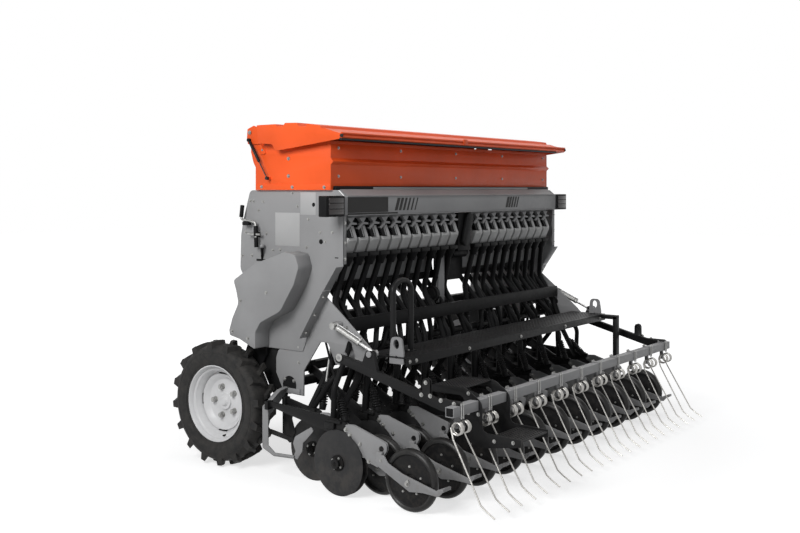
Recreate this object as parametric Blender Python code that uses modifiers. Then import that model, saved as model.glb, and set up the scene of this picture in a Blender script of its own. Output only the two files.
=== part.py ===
"""A three metre mechanical seed drill with double-disc coulters, press wheels and a following harrow.

The drill stands parked on its two drive wheels and its coulters. x runs to the drill's right, y forwards
(the way it is towed) and z up from the ground. The working frame, an empty, has y = 0 at the rear edge of
the side plates, and stands so that the world origin is under the middle of the whole machine.
"""
import math

import bmesh
import bpy
from mathutils import Matrix, Vector

# Frame and clearances
FOOTPRINT_MIDDLE = 0.0775       # how far the machine's middle lies ahead of the side plates' rear edge
SEAT = 0.0003                   # gap between pieces that are bolted face to face
RUNNING = 0.0006                # gap between a wheel's hub and what carries it

# Side plates, chassis plates and beams
SIDE_X = 1.240                  # outer face of the side plates
SIDE_T = 0.006
CHASSIS_T = 0.010
FLANGE_WIDTH = 0.030
SIDE_TOP = 1.622
BEAM_LOW, BEAM_HIGH = 1.482, 1.588
RAIL_HIGH = 1.627
LAMP_REACH = 1.400              # how far the lamp boxes on the side plates stand out
LEVER_FOOT = (0.617, 1.210)     # small lever on the left side plate
LEVER_KNOB = (0.594, 1.295)
CRANK_X = -1.270
CRANK_BEARING = (0.641, 1.360)
CROSS_BEAM = (0.180, 0.890)     # middle of the black cross beam
CROSS_SIZE = 0.060
FRONT_BEAM = (0.640, 0.760)     # middle of the front frame beam
FRONT_SIZE = 0.080

# Hopper and lid
HOPPER_HALF = 1.257
HOPPER_LOW, HOPPER_TOP = SIDE_TOP + SEAT, 1.882
SHEET = 0.004
LID_OVERHANG = 0.053            # how far the lid stands over each end of the hopper
LID_HALF = HOPPER_HALF + LID_OVERHANG
LID_PIVOT = (0.684, 1.963)
STRUT_TOP = (0.683, 1.918)
STRUT_FOOT = (0.536, 1.691)
STRUT_OUT = 0.028               # from the hopper's end to the middle of a strut
STRUT_X = HOPPER_HALF + STRUT_OUT
STRUT_WIDTH = 0.020

# Sowing rows
WORKING_WIDTH = 3.0
ROWS = 21
ROW_PITCH = WORKING_WIDTH / ROWS
DISC_R = 0.175
DISC_T = 0.004
ARM_T = 0.016                   # the arm plate runs down between the two discs
DISC_GAP = 0.026                # between the two discs at their hub
DISC_TOE = math.radians(3.0)
BANK_STAGGER = 0.301            # how far the front bank of coulters runs ahead of the rear bank
REAR_DISC_Y = -0.133
PRESS_R = 0.160
PRESS_WIDTH = 0.050
PRESS_BACK = 0.472              # from a disc's axle back to its press wheel's axle
RAIL_SIZE = 0.050
REAR_RAIL = (0.345, 0.600)
FRONT_RAIL = (0.405, 0.505)
RAIL_END = 0.0314               # rails and pressure shaft run this far past the outermost rows
ROW_REACH = ROW_PITCH * (ROWS - 1) / 2 + RAIL_END
OFFSET = 0.025                  # seed tube and spring stand this far either side of a row
TUBE_R = 0.016

# Pressure shaft
SHAFT = (0.035, 0.720)
SHAFT_R = 0.022
SPRING_ROD_R = 0.011
SPRING_R = 0.024
SPRING_LONG = 0.130             # the spring at the rod's lower end

# Metering units under the hopper
METER_PITCH = 0.104
METER_WIDTH = 0.086
METER_LEFT = -1.165
METER_LEFT_COUNT = 11
METER_RIGHT = 0.165
METER_Y = 0.030
METER_TOP, METER_FOOT = 1.480, 1.268

# Walkway
WALK_BACK, WALK_FRONT = -0.420, -0.150
WALK_TOP, WALK_FOLD = 0.730, 0.045

# Drive wheels, 6.00-16
WHEEL_R = 0.3675
WHEEL_WIDTH = 0.160
WHEEL_X = 1.350
WHEEL_Y = 0.830
LUG_COUNT = 16
LUG_HIGH = 0.018
RIM_R = 0.195
STUB_R = 0.030
GUARD_TOP = 1.274
GUARD_LOW = 2 * WHEEL_R - 0.029     # the chain guard's lower edge keeps clear of the tyre
BRACKET_Y = WHEEL_Y - WHEEL_R - 0.0205   # front face of the side bracket, behind the tyre
BRACKET_REACH = 1.420
BRACKET_T = 0.006

# Harrow
HARROW_PIVOT = (-0.054, 0.713)
HARROW_BAR = (-0.811, 0.520)
HARROW_BAR_SIZE = 0.050
HARROW_HALF = 1.395
HARROW_ARM_X = 1.325
HARROW_ARM_T = 0.025
LUG_EYE = (-0.627, 0.640)       # hole of the fork that stands on each harrow arm
TINES = 11
TINE_END = 0.075                # from the bar's end to the middle of its outermost tine
TINE_PITCH = 2 * (HARROW_HALF - TINE_END) / (TINES - 1)
TINE_SPREAD = 0.140
COIL_CENTRE = (-0.832, 0.436)
COIL_R = 0.030
WIRE_R = 0.0045
TINE_BEND = (-0.990, 0.091)
TINE_TIP = (-1.070, 0.040)

# Harrow cylinders
CYLINDER_X = 1.290
CYLINDER_HEAD = (0.023, 0.874)
CYLINDER_EYE = (-0.261, 0.749)
CYLINDER_R = 0.017
CYLINDER_ROD_R = 0.010
PIN_R = 0.010
PIN_BORE = 0.0116               # an eye turns freely on its pin

# Three-point headstock
LINK_SPACING = 0.825
LINK_NOSE = 1.240
LINK_HEIGHT = 0.620
TOP_LINK = (1.000, 1.230)

COLOURS = {
    "orange": ((0.80, 0.14, 0.03), 0.40, 0.0),
    "panel_grey": ((0.30, 0.30, 0.30), 0.45, 0.0),
    "light_grey": ((0.48, 0.48, 0.48), 0.45, 0.0),
    "black_paint": ((0.02, 0.02, 0.02), 0.45, 0.0),
    "rubber": ((0.025, 0.025, 0.025), 0.80, 0.0),
    "steel": ((0.45, 0.45, 0.45), 0.30, 1.0),
    "wheel_white": ((0.65, 0.65, 0.65), 0.40, 0.0),
}

parts = bpy.data.collections.new("seed_drill")
cutters = bpy.data.collections.new("cutters")


# Helpers

def merge_flat_faces(bm):
    """Merge the flat pieces of one face into one, so that a plate's side is a single polygon."""
    bmesh.ops.dissolve_limit(bm, angle_limit=0.0005, verts=bm.verts, edges=bm.edges)


def solid(bm):
    """Close a bmesh into a new object of the parts collection."""
    bmesh.ops.remove_doubles(bm, verts=bm.verts, dist=0.00001)
    bmesh.ops.recalc_face_normals(bm, faces=bm.faces)
    merge_flat_faces(bm)
    mesh = bpy.data.meshes.new("piece")
    bm.to_mesh(mesh)
    bm.free()
    piece = bpy.data.objects.new("piece", mesh)
    parts.objects.link(piece)
    return piece


def block(low, high):
    """A box between two opposite corners."""
    low, high = Vector(low), Vector(high)
    bm = bmesh.new()
    bmesh.ops.create_cube(bm, size=1.0)
    place = Matrix.Translation((low + high) / 2) @ Matrix.Diagonal((high - low).to_4d())
    bmesh.ops.transform(bm, matrix=place, verts=bm.verts)
    return solid(bm)


def rod(start, end, radius, sides=8):
    """A round bar from one point to another."""
    start, end = Vector(start), Vector(end)
    along = end - start
    bm = bmesh.new()
    bmesh.ops.create_cone(bm, cap_ends=True, segments=sides, radius1=radius, radius2=radius, depth=along.length)
    place = Matrix.Translation((start + end) / 2) @ along.to_track_quat("Z", "Y").to_matrix().to_4x4()
    bmesh.ops.transform(bm, matrix=place, verts=bm.verts)
    return solid(bm)


def beam(x_from, x_to, start, end, depth):
    """A flat bar between two (y, z) points, as wide as x_from to x_to."""
    start, end = Vector((0, *start)), Vector((0, *end))
    along = end - start
    bm = bmesh.new()
    bmesh.ops.create_cube(bm, size=1.0)
    angle = math.atan2(along.z, along.y)
    middle = (start + end) / 2 + Vector(((x_from + x_to) / 2, 0, 0))
    size = Matrix.Diagonal((abs(x_to - x_from), along.length, depth, 1))
    bmesh.ops.transform(bm, matrix=Matrix.Translation(middle) @ Matrix.Rotation(angle, 4, "X") @ size,
                        verts=bm.verts)
    return solid(bm)


def fillet(corners, steps=2):
    """Outline points from (y, z, radius) corners, each round corner as a short arc."""
    points = []
    for index, (y, z, radius) in enumerate(corners):
        here = Vector((y, z))
        if not radius:
            points.append((y, z))
            continue
        before = (Vector(corners[index - 1][:2]) - here).normalized()
        after = (Vector(corners[(index + 1) % len(corners)][:2]) - here).normalized()
        half = before.angle(after) / 2
        centre = here + (before + after).normalized() * radius / math.sin(half)
        start = here + before * radius / math.tan(half) - centre
        end = here + after * radius / math.tan(half) - centre
        first = math.atan2(start.y, start.x)
        turn = (math.atan2(end.y, end.x) - first + math.pi) % math.tau - math.pi
        for step in range(steps + 1):
            angle = first + turn * step / steps
            points.append((centre.x + radius * math.cos(angle), centre.y + radius * math.sin(angle)))
    return points


def circle(centre, radius, sides=12):
    """Outline points of a round hole or boss."""
    angles = [math.tau * side / sides for side in range(sides)]
    return [(centre[0] + radius * math.cos(a), centre[1] + radius * math.sin(a)) for a in angles]


def meshed(shape):
    """Turn a curve object into a mesh object with its caps welded."""
    graph = bpy.context.evaluated_depsgraph_get()
    mesh = bpy.data.meshes.new_from_object(shape.evaluated_get(graph))
    bm = bmesh.new()
    bm.from_mesh(mesh)
    bmesh.ops.transform(bm, matrix=shape.matrix_world, verts=bm.verts)
    bpy.data.objects.remove(shape)
    return solid(bm)


def plate(x_from, x_to, outline, holes=()):
    """A flat plate in the y-z plane, cut from an outline with holes."""
    curve = bpy.data.curves.new("outline", "CURVE")
    curve.dimensions = "2D"
    curve.fill_mode = "BOTH"
    curve.extrude = abs(x_to - x_from) / 2
    for ring in (outline, *holes):
        spline = curve.splines.new("POLY")
        spline.points.add(len(ring) - 1)
        for point, (y, z) in zip(spline.points, ring):
            point.co = (y, z, 0, 1)
        spline.use_cyclic_u = True
    shape = bpy.data.objects.new("outline", curve)
    parts.objects.link(shape)
    shape.location = ((x_from + x_to) / 2, 0, 0)
    shape.rotation_euler = (math.pi / 2, 0, math.pi / 2)
    bpy.context.view_layer.update()
    return meshed(shape)


def pipe(points, radius, resolution=1):
    """A round tube or wire along a list of points, with closed ends."""
    curve = bpy.data.curves.new("pipe", "CURVE")
    curve.dimensions = "3D"
    curve.bevel_depth = radius
    curve.bevel_resolution = resolution
    curve.use_fill_caps = True
    spline = curve.splines.new("POLY")
    spline.points.add(len(points) - 1)
    for point, place in zip(spline.points, points):
        point.co = (*place, 1)
    shape = bpy.data.objects.new("pipe", curve)
    parts.objects.link(shape)
    bpy.context.view_layer.update()
    return meshed(shape)


def turned(profile, centre, steps, outward=1, closed=False):
    """A shape turned about the x axis. The profile is (radius, height outwards), from the outer end in."""
    mesh = bpy.data.meshes.new("profile")
    edges = [(i, i + 1) for i in range(len(profile) - 1)]
    if closed:
        edges.append((len(profile) - 1, 0))
    mesh.from_pydata([(radius, 0, height) for radius, height in profile], edges, [])
    shape = bpy.data.objects.new("profile", mesh)
    parts.objects.link(shape)
    screw = shape.modifiers.new("turn", "SCREW")
    screw.steps = screw.render_steps = steps
    screw.use_merge_vertices = True
    screw.merge_threshold = 0.00005
    shape.rotation_euler = (0, outward * math.pi / 2, 0)
    shape.location = centre
    bpy.context.view_layer.update()
    return meshed(shape)


def combine(base, others, operation="UNION"):
    """Join pieces into one body, or cut them away, with an exact Boolean."""
    if not others:
        return base
    group = bpy.data.collections.new("tools")
    bpy.context.scene.collection.children.link(group)
    for other in others:
        parts.objects.unlink(other)
        group.objects.link(other)
    join = base.modifiers.new("join", "BOOLEAN")
    join.operand_type = "COLLECTION"
    join.collection = group
    join.operation = operation
    graph = bpy.context.evaluated_depsgraph_get()
    mesh = bpy.data.meshes.new_from_object(base.evaluated_get(graph))
    base.modifiers.clear()
    base.data = mesh
    for other in others:
        bpy.data.objects.remove(other)
    bpy.data.collections.remove(group)
    bm = bmesh.new()
    bm.from_mesh(mesh)
    bmesh.ops.remove_doubles(bm, verts=bm.verts, dist=0.000005)
    bmesh.ops.dissolve_degenerate(bm, edges=bm.edges, dist=0.000005)
    merge_flat_faces(bm)
    bm.to_mesh(mesh)
    bm.free()
    return base


def place(piece, name, colour, origin=(0, 0, 0), smooth=False):
    """Name a finished piece, paint it, and hang it in the working frame with its origin where it turns."""
    origin = Vector(origin)
    piece.data.transform(Matrix.Translation(-origin))
    piece.location = origin
    piece.name = name
    piece.data.name = name
    piece.data.materials.clear()
    piece.data.materials.append(bpy.data.materials[colour])
    if smooth:
        piece.data.shade_smooth()
        piece.data.set_sharp_from_angle(angle=math.radians(35))
    piece.parent = bpy.data.objects["working_frame"]
    return piece


def paints():
    for name, (colour, roughness, metallic) in COLOURS.items():
        material = bpy.data.materials.new(name)
        material.use_nodes = True
        shader = material.node_tree.nodes["Principled BSDF"]
        shader.inputs["Base Color"].default_value = (*colour, 1)
        shader.inputs["Roughness"].default_value = roughness
        shader.inputs["Metallic"].default_value = metallic


SIDES = (("left", -1), ("right", 1))


# Body of the drill

def side_plates():
    outline = fillet([
        (0.000, 1.190, 0), (0.051, 1.182, 0.02), (0.152, 1.053, 0.03), (0.267, 0.764, 0), (0.300, 0.700, 0),
        (0.660, 0.700, 0.02), (0.740, 0.800, 0.02), (0.740, 1.060, 0.02), (0.799, 1.152, 0.05),
        (0.793, 1.355, 0.05), (0.773, 1.447, 0.05), (0.716, SIDE_TOP, 0.03), (0.040, SIDE_TOP, 0.01),
        (0.000, BEAM_HIGH + 0.002, 0.01),
    ], 2)
    for name, side in SIDES:
        wall = plate(side * (SIDE_X - SIDE_T), side * SIDE_X, outline)
        flange = block((side * (SIDE_X - FLANGE_WIDTH), 0, 1.210), (side * (SIDE_X - 0.001), SIDE_T, BEAM_HIGH - 0.004))
        brace = beam(side * (SIDE_X - 0.001), side * (SIDE_X + 0.028), (0.160, 1.035), (0.272, 0.770), 0.006)
        lamp = block((side * (SIDE_X - 0.001), -0.012, BEAM_LOW - 0.004), (side * LAMP_REACH, 0.040, BEAM_HIGH + 0.002))
        pieces = [flange, brace, lamp]
        if name == "left":
            knob = Vector((-SIDE_X, *LEVER_KNOB))
            pieces.append(beam(-SIDE_X + 0.001, -SIDE_X - 0.007, LEVER_FOOT, LEVER_KNOB, 0.014))
            pieces.append(rod(knob, knob - Vector((0.036, 0, 0)), 0.012))
        place(combine(wall, pieces), f"side_plate_{name}", "panel_grey")


def chassis_plates():
    outline = fillet([
        (0.299, 0.444, 0), (0.450, 0.450, 0.01), (0.508, 0.566, 0.02), (0.505, 0.669, 0.02),
        (0.451, 0.719, 0), (0.302, 0.785, 0), (0.152, 1.040, 0.02), (-0.010, 0.910, 0.02),
        (-0.190, 0.760, 0.02), (-0.235, 0.715, 0.02), (-0.210, 0.675, 0.02), (0.000, 0.640, 0),
        (0.061, 0.648, 0.01), (0.116, 0.766, 0.02), (0.165, 0.764, 0.02), (0.296, 0.582, 0.02),
    ], 2)
    clear = SEAT * 2
    rail_holes = []
    for y, z in (REAR_RAIL, FRONT_RAIL):
        half = RAIL_SIZE / 2 + clear
        rail_holes.append([(y - half, z - half), (y + half, z - half), (y + half, z + half), (y - half, z + half)])
    shaft_hole = circle(SHAFT, (SHAFT_R + SEAT) / math.cos(math.pi / 16), 16)
    inner = SIDE_X - SIDE_T - SEAT - CHASSIS_T
    for name, side in SIDES:
        wall = plate(side * inner, side * (inner + CHASSIS_T), outline, [*rail_holes, shaft_hole])
        outer = inner + CHASSIS_T
        pivot = rod((side * (outer - 0.002), *HARROW_PIVOT), (side * (HARROW_ARM_X + 0.02), *HARROW_PIVOT), PIN_R)
        pivot_boss = rod((side * (outer - 0.002), *HARROW_PIVOT),
                         (side * (HARROW_ARM_X - HARROW_ARM_T / 2 - RUNNING), *HARROW_PIVOT), 0.024)
        head = rod((side * (outer - 0.002), *CYLINDER_HEAD), (side * (CYLINDER_X + 0.018), *CYLINDER_HEAD), PIN_R)
        head_boss = rod((side * (outer - 0.002), *CYLINDER_HEAD),
                        (side * (CYLINDER_X - CYLINDER_R - RUNNING), *CYLINDER_HEAD), 0.020)
        place(combine(wall, [pivot, pivot_boss, head, head_boss, *side_bracket(side, outer)]),
              f"chassis_plate_{name}", "panel_grey")


def side_bracket(side, outer):
    """A bent bracket that carries a flat bar outside the rows, ending in a short rung."""
    reach, thick = BRACKET_REACH, BRACKET_T
    foot = block((side * (outer - 0.001), BRACKET_Y - 0.120, 0.450),
                 (side * (outer + thick), BRACKET_Y, 0.474))
    shape = [(outer + 0.001, 0.452), (1.300, 0.400), (reach, 0.320), (reach, 0.400), (1.310, 0.455),
             (outer + 0.001, 0.472)]
    web = plate(0, thick, [(side * x, z) for x, z in shape])
    web.data.transform(Matrix.Translation((0, BRACKET_Y, 0)) @ Matrix.Rotation(-math.pi / 2, 4, "Z"))
    bar = beam(side * (reach - thick / 2), side * (reach + thick / 2),
               (BRACKET_Y - 0.024, 0.392), (BRACKET_Y - 0.024, 0.190), 0.044)
    toe = beam(side * (reach - thick / 2 + 0.0006), side * (reach + thick / 2 - 0.0006),
               (BRACKET_Y - 0.028, 0.200), (BRACKET_Y - 0.118, 0.128), 0.030)
    rung = rod((side * reach, BRACKET_Y - 0.112, 0.132), (side * (reach - 0.090), BRACKET_Y - 0.112, 0.132), 0.008)
    return [foot, web, bar, toe, rung]


def chain_guards():
    outline = fillet([
        (0.561, 0.706, 0.01), (0.685, 0.751, 0.02), (0.767, 0.768, 0.01), (0.772, 0.799, 0.01),
        (0.748, 0.869, 0.03), (0.697, 0.962, 0.04), (0.716, 1.037, 0.04), (0.738, 1.094, 0.02),
        (0.560, 1.200, 0.06), (0.330, 1.274, 0.03), (0.252, 1.262, 0.02), (0.233, 1.215, 0.03),
        (0.249, 1.120, 0.05), (0.316, 1.000, 0.06), (0.500, 0.905, 0.06), (0.553, 0.825, 0.05),
    ])
    drawn = max(z for y, z in outline) - min(z for y, z in outline)
    top = max(z for y, z in outline)
    scale = (GUARD_TOP - GUARD_LOW) / drawn
    outline = [(y, GUARD_TOP - (top - z) * scale) for y, z in outline]
    for name, side in SIDES:
        cover = plate(side * (SIDE_X + SEAT), side * 1.360, outline)
        place(cover, f"chain_guard_{name}", "panel_grey")


def rear_beam():
    x_in = SIDE_X - FLANGE_WIDTH - SEAT
    x_out = SIDE_X - 0.001 - SEAT
    face = block((-x_out, -0.010, BEAM_LOW), (x_out, -SEAT, BEAM_HIGH))
    web = block((-x_in, -0.004, BEAM_HIGH - 0.006), (x_in, 0.060, BEAM_HIGH))
    foot = block((-x_in, -0.004, BEAM_LOW), (x_in, 0.020, BEAM_LOW + 0.006))
    slope = beam(-x_in, x_in, (0.004, BEAM_HIGH - 0.003), (0.050, RAIL_HIGH - 0.003), 0.006)
    place(combine(face, [web, foot, slope]), "rear_beam", "black_paint")


def hopper():
    section = [
        (0.075, HOPPER_LOW), (0.075, 1.766), (0.056, 1.784), (0.075, 1.802), (0.075, HOPPER_TOP),
        (0.693, HOPPER_TOP), (0.693, 1.848), (0.672, 1.784), (0.655, 1.757), (0.655, HOPPER_LOW),
    ]
    room = [
        (0.083, 1.700), (0.081, 1.764), (0.062, 1.784), (0.081, 1.804), (0.081, HOPPER_TOP + 0.010),
        (0.688, HOPPER_TOP + 0.010), (0.688, 1.850), (0.667, 1.786), (0.650, 1.757), (0.650, 1.720),
        (0.420, 1.643), (0.300, 1.643),
    ]
    shell = plate(-HOPPER_HALF, HOPPER_HALF, section)
    cavity = plate(-HOPPER_HALF + SHEET, HOPPER_HALF - SHEET, room)
    combine(shell, [cavity], "DIFFERENCE")
    ears = []
    bracket = fillet([(0.560, 1.835, 0.01), (0.610, 1.830, 0.01), (0.700, 1.925, 0.02), (0.697, 1.968, 0.012),
                      (0.668, 1.972, 0.012), (0.640, 1.930, 0.02)])
    for name, side in SIDES:
        ears.append(plate(side * (HOPPER_HALF - 0.001), side * (HOPPER_HALF + 0.006), bracket))
        ears.append(rod((side * HOPPER_HALF, *LID_PIVOT), (side * (HOPPER_HALF + 0.020), *LID_PIVOT), 0.008))
        foot = side * (STRUT_X - STRUT_WIDTH / 2 - SEAT)
        ears.append(rod((side * (HOPPER_HALF - 0.001), *STRUT_FOOT), (foot, *STRUT_FOOT), 0.009))
    place(combine(shell, ears), "hopper", "orange")


def lid():
    crown = [
        (0.040, 1.955), (0.048, 1.958), (0.100, 1.962), (0.112, 1.984), (0.205, 1.996), (0.213, 1.983),
        (0.275, 1.984), (0.285, 2.005), (0.378, 2.007), (0.388, 1.987), (0.440, 1.987), (0.450, 2.003),
        (0.574, 2.002),
    ]
    outer = [
        (-0.050, 1.912), (-0.046, 1.922), (-0.013, 1.926), *crown, (0.690, 1.990), (0.712, 1.960),
        (0.712, 1.900), (0.674, 1.893), (0.500, 1.884), (0.037, 1.908),
    ]
    inner = [
        (-0.030, 1.880), (-0.010, 1.921), *((y, z - SHEET - 0.001) for y, z in crown), (0.687, 1.985),
        (0.707, 1.958), (0.707, 1.880),
    ]
    shell = plate(-LID_HALF, LID_HALF, outer)
    cavity = plate(-LID_HALF + SHEET, LID_HALF - SHEET, inner)
    slots = [block((side * (HOPPER_HALF - 0.012), 0.620, 1.870), (side * (LID_HALF + 0.010), 0.720, 1.975))
             for name, side in SIDES]
    combine(shell, [cavity, *slots], "DIFFERENCE")
    ear = fillet([(0.600, 1.996, 0), (0.600, 1.975, 0), (0.655, 1.945, 0.02), (0.668, 1.903, 0.012),
                  (0.698, 1.903, 0.012), (0.705, 1.950, 0.02), (0.700, 1.975, 0), (0.690, 1.989, 0)], 2)
    hole = circle(LID_PIVOT, 0.0095)
    ear_x = HOPPER_HALF + 0.011
    pieces = []
    for name, side in SIDES:
        pieces.append(plate(side * ear_x, side * (ear_x + 0.006), ear, [hole]))
        stud = STRUT_X - STRUT_WIDTH / 2 - SEAT
        pieces.append(rod((side * (ear_x + 0.003), *STRUT_TOP), (side * stud, *STRUT_TOP), 0.007))
    place(combine(shell, pieces), "lid", "orange", (0, *LID_PIVOT))


def gas_struts():
    top, foot = Vector((0, *STRUT_TOP)), Vector((0, *STRUT_FOOT))
    along = (foot - top).normalized()
    for name, side in SIDES:
        x = Vector((side * STRUT_X, 0, 0))
        half = Vector((side * STRUT_WIDTH / 2, 0, 0))
        bore = 0.0055
        barrel = rod(x + top + along * 0.006, x + top + along * 0.150, 0.010)
        eye = rod(x + top - half, x + top + half, 0.011)
        barrel = combine(barrel, [eye])
        hole = rod(x + top + along * 0.060, x + top + along * 0.160, bore)
        place(combine(barrel, [hole], "DIFFERENCE"), f"strut_barrel_{name}", "black_paint", x + top)
        stem = rod(x + top + along * 0.075, x + foot - along * 0.004, 0.0045)
        eye = rod(x + foot - half, x + foot + half, 0.010)
        place(combine(stem, [eye]), f"strut_rod_{name}", "steel", x + foot)


def meter_x():
    right = ROWS - METER_LEFT_COUNT
    left_units = [METER_LEFT + METER_PITCH * i for i in range(METER_LEFT_COUNT)]
    return left_units, [METER_RIGHT + METER_PITCH * i for i in range(right)]


def metering_banks():
    housing = [
        (0.012, METER_TOP - 0.010), (0.012, 1.425), (-0.008, 1.405), (-0.010, 1.330), (0.004, 1.300),
        (0.008, METER_FOOT), (0.052, METER_FOOT), (0.058, 1.310), (0.095, 1.340), (0.095, METER_TOP - 0.010),
    ]
    for name, places in zip(("left", "right"), meter_x()):
        rail = block((places[0] - 0.045, 0.022, METER_TOP - 0.014), (places[-1] + 0.045, 0.130, METER_TOP))
        units = [plate(x - METER_WIDTH / 2, x + METER_WIDTH / 2, housing) for x in places]
        place(combine(rail, units), f"metering_bank_{name}", "light_grey")


def metering_drive():
    case = block((-0.060, 0.010, 1.230), (0.085, 0.090, 1.475))
    post = beam(-0.145, -0.095, (0.120, 1.260), (0.120, 0.925), 0.040)
    arm = block((-0.140, 0.080, 1.240), (-0.050, 0.140, 1.270))
    foot = block((-0.150, 0.095, CROSS_BEAM[1] + CROSS_SIZE / 2 + SEAT), (-0.090, 0.160, 0.935))
    place(combine(case, [post, arm, foot]), "metering_drive", "black_paint")


def frame_beams():
    reach = SIDE_X - SIDE_T - SEAT - CHASSIS_T - SEAT
    y, z = CROSS_BEAM
    half = CROSS_SIZE / 2
    place(block((-reach, y - half, z - half), (reach, y + half, z + half)), "cross_beam", "black_paint")
    y, z = FRONT_BEAM
    half = FRONT_SIZE / 2
    reach = SIDE_X - SIDE_T - SEAT - 0.025 - SEAT
    place(block((-reach, y - half, z - half), (reach, y + half, z + half)), "front_beam", "black_paint")


def headstock():
    y, z = FRONT_BEAM
    back = y + FRONT_SIZE / 2 + SEAT
    pieces = []
    for name, side in SIDES:
        for shift in (-0.035, 0.035):
            x = side * LINK_SPACING / 2 + shift
            cheek = fillet([(back, z - 0.090, 0), (LINK_NOSE, LINK_HEIGHT - 0.050, 0.04),
                            (LINK_NOSE, LINK_HEIGHT + 0.050, 0.04), (back + 0.12, z + 0.100, 0.03),
                            (back, z + 0.100, 0)], 1)
            pieces.append(plate(x - 0.006, x + 0.006, cheek))
        x = side * LINK_SPACING / 2
        pieces.append(rod((x - 0.055, LINK_NOSE - 0.055, LINK_HEIGHT), (x + 0.055, LINK_NOSE - 0.055, LINK_HEIGHT), 0.014))
        leg_foot = (x, back + 0.030, z + 0.060)
        pieces.append(block((x - 0.041, back, z - 0.085), (x + 0.041, back + 0.012, z + 0.095)))
        pieces.append(rod(leg_foot, (side * 0.050, TOP_LINK[0] - 0.060, TOP_LINK[1]), 0.028, 8))
    for side in (-1, 1):
        ear = fillet([(TOP_LINK[0] - 0.110, TOP_LINK[1] - 0.080, 0.02), (TOP_LINK[0] + 0.045, TOP_LINK[1] - 0.040, 0.03),
                      (TOP_LINK[0] + 0.045, TOP_LINK[1] + 0.045, 0.03), (TOP_LINK[0] - 0.110, TOP_LINK[1] + 0.060, 0.02)], 1)
        pieces.append(plate(side * 0.045, side * 0.057, ear))
    pieces.append(block((-0.050, TOP_LINK[0] - 0.105, TOP_LINK[1] - 0.060), (0.050, TOP_LINK[0] - 0.085, TOP_LINK[1] + 0.040)))
    pieces.append(rod((-0.075, *TOP_LINK), (0.075, *TOP_LINK), 0.0125))
    pieces.append(beam(-0.030, 0.030, (TOP_LINK[0] - 0.100, TOP_LINK[1] + 0.010), (0.690, 1.600), 0.050))
    pieces.append(block((-0.300, 0.6603, 1.570), (0.300, 0.700, 1.630)))
    base = block((-LINK_SPACING / 2, back, z - 0.030), (LINK_SPACING / 2, back + 0.010, z + 0.030))
    place(combine(base, pieces), "headstock", "panel_grey")


def walkway():
    reach = SIDE_X - SIDE_T - SEAT - CHASSIS_T - SEAT
    wall = SHEET
    tread = plate(-reach, reach, [
        (WALK_BACK, WALK_TOP), (WALK_BACK, WALK_TOP - WALK_FOLD), (WALK_BACK + wall, WALK_TOP - WALK_FOLD),
        (WALK_BACK + wall, WALK_TOP - wall), (WALK_FRONT - wall, WALK_TOP - wall),
        (WALK_FRONT - wall, WALK_TOP - WALK_FOLD), (WALK_FRONT, WALK_TOP - WALK_FOLD), (WALK_FRONT, WALK_TOP),
    ])
    eye = fillet([(-0.395, 0.700, 0), (-0.300, 0.700, 0), (-0.300, 0.836, 0.035), (-0.390, 0.836, 0.035)], 3)
    eyes = [plate(side * 1.200, side * 1.212, eye, [circle((-0.346, 0.795), 0.020)]) for name, side in SIDES]
    arm = block((1.160, -0.535, 0.700), (1.210, -0.410, 0.728))
    post = block((1.160, -0.535, 0.437), (1.210, -0.505, 0.728))
    place(combine(tread, [*eyes, arm, post]), "walkway", "black_paint")


def handrail():
    low, high, bend = WALK_TOP + SEAT, 1.127, 0.060
    points = [(-1.165, -0.290, low), (-1.165, -0.290, high - bend)]
    for step in range(1, 6):
        angle = math.pi * step / 6
        points.append((-1.0825 - 0.0825 * math.cos(angle), -0.290, high - bend + bend * math.sin(angle)))
    points += [(-1.000, -0.290, high - bend), (-1.000, -0.290, low)]
    place(pipe(points, 0.0125, 1), "handrail", "black_paint")


# Coulters

def row_x(row):
    return (row - (ROWS - 1) / 2) * ROW_PITCH


def outward(row):
    return 1 if row_x(row) > 0.001 else -1


def bank_rows(bank):
    return range(0 if bank == "rear" else 1, ROWS, 2)


def bank_y(bank):
    return REAR_DISC_Y + (BANK_STAGGER if bank == "front" else 0)


def spring_line(bank):
    """The pressure lever's tip and the foot of its spring rod, as (y, z) points."""
    if bank == "rear":
        return (-0.005, 0.800), (bank_y(bank) - 0.023, 0.3850)
    return (0.062, 0.785), (bank_y(bank) - 0.034, 0.3900)


def disc(x, y, toe):
    """One flat disc on its own axle, toed in."""
    piece = rod((-DISC_T / 2, 0, 0), (DISC_T / 2, 0, 0), DISC_R, 12)
    piece.data.transform(Matrix.Translation((x, y, DISC_R)) @ Matrix.Rotation(toe, 4, "Z"))
    return piece


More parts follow.
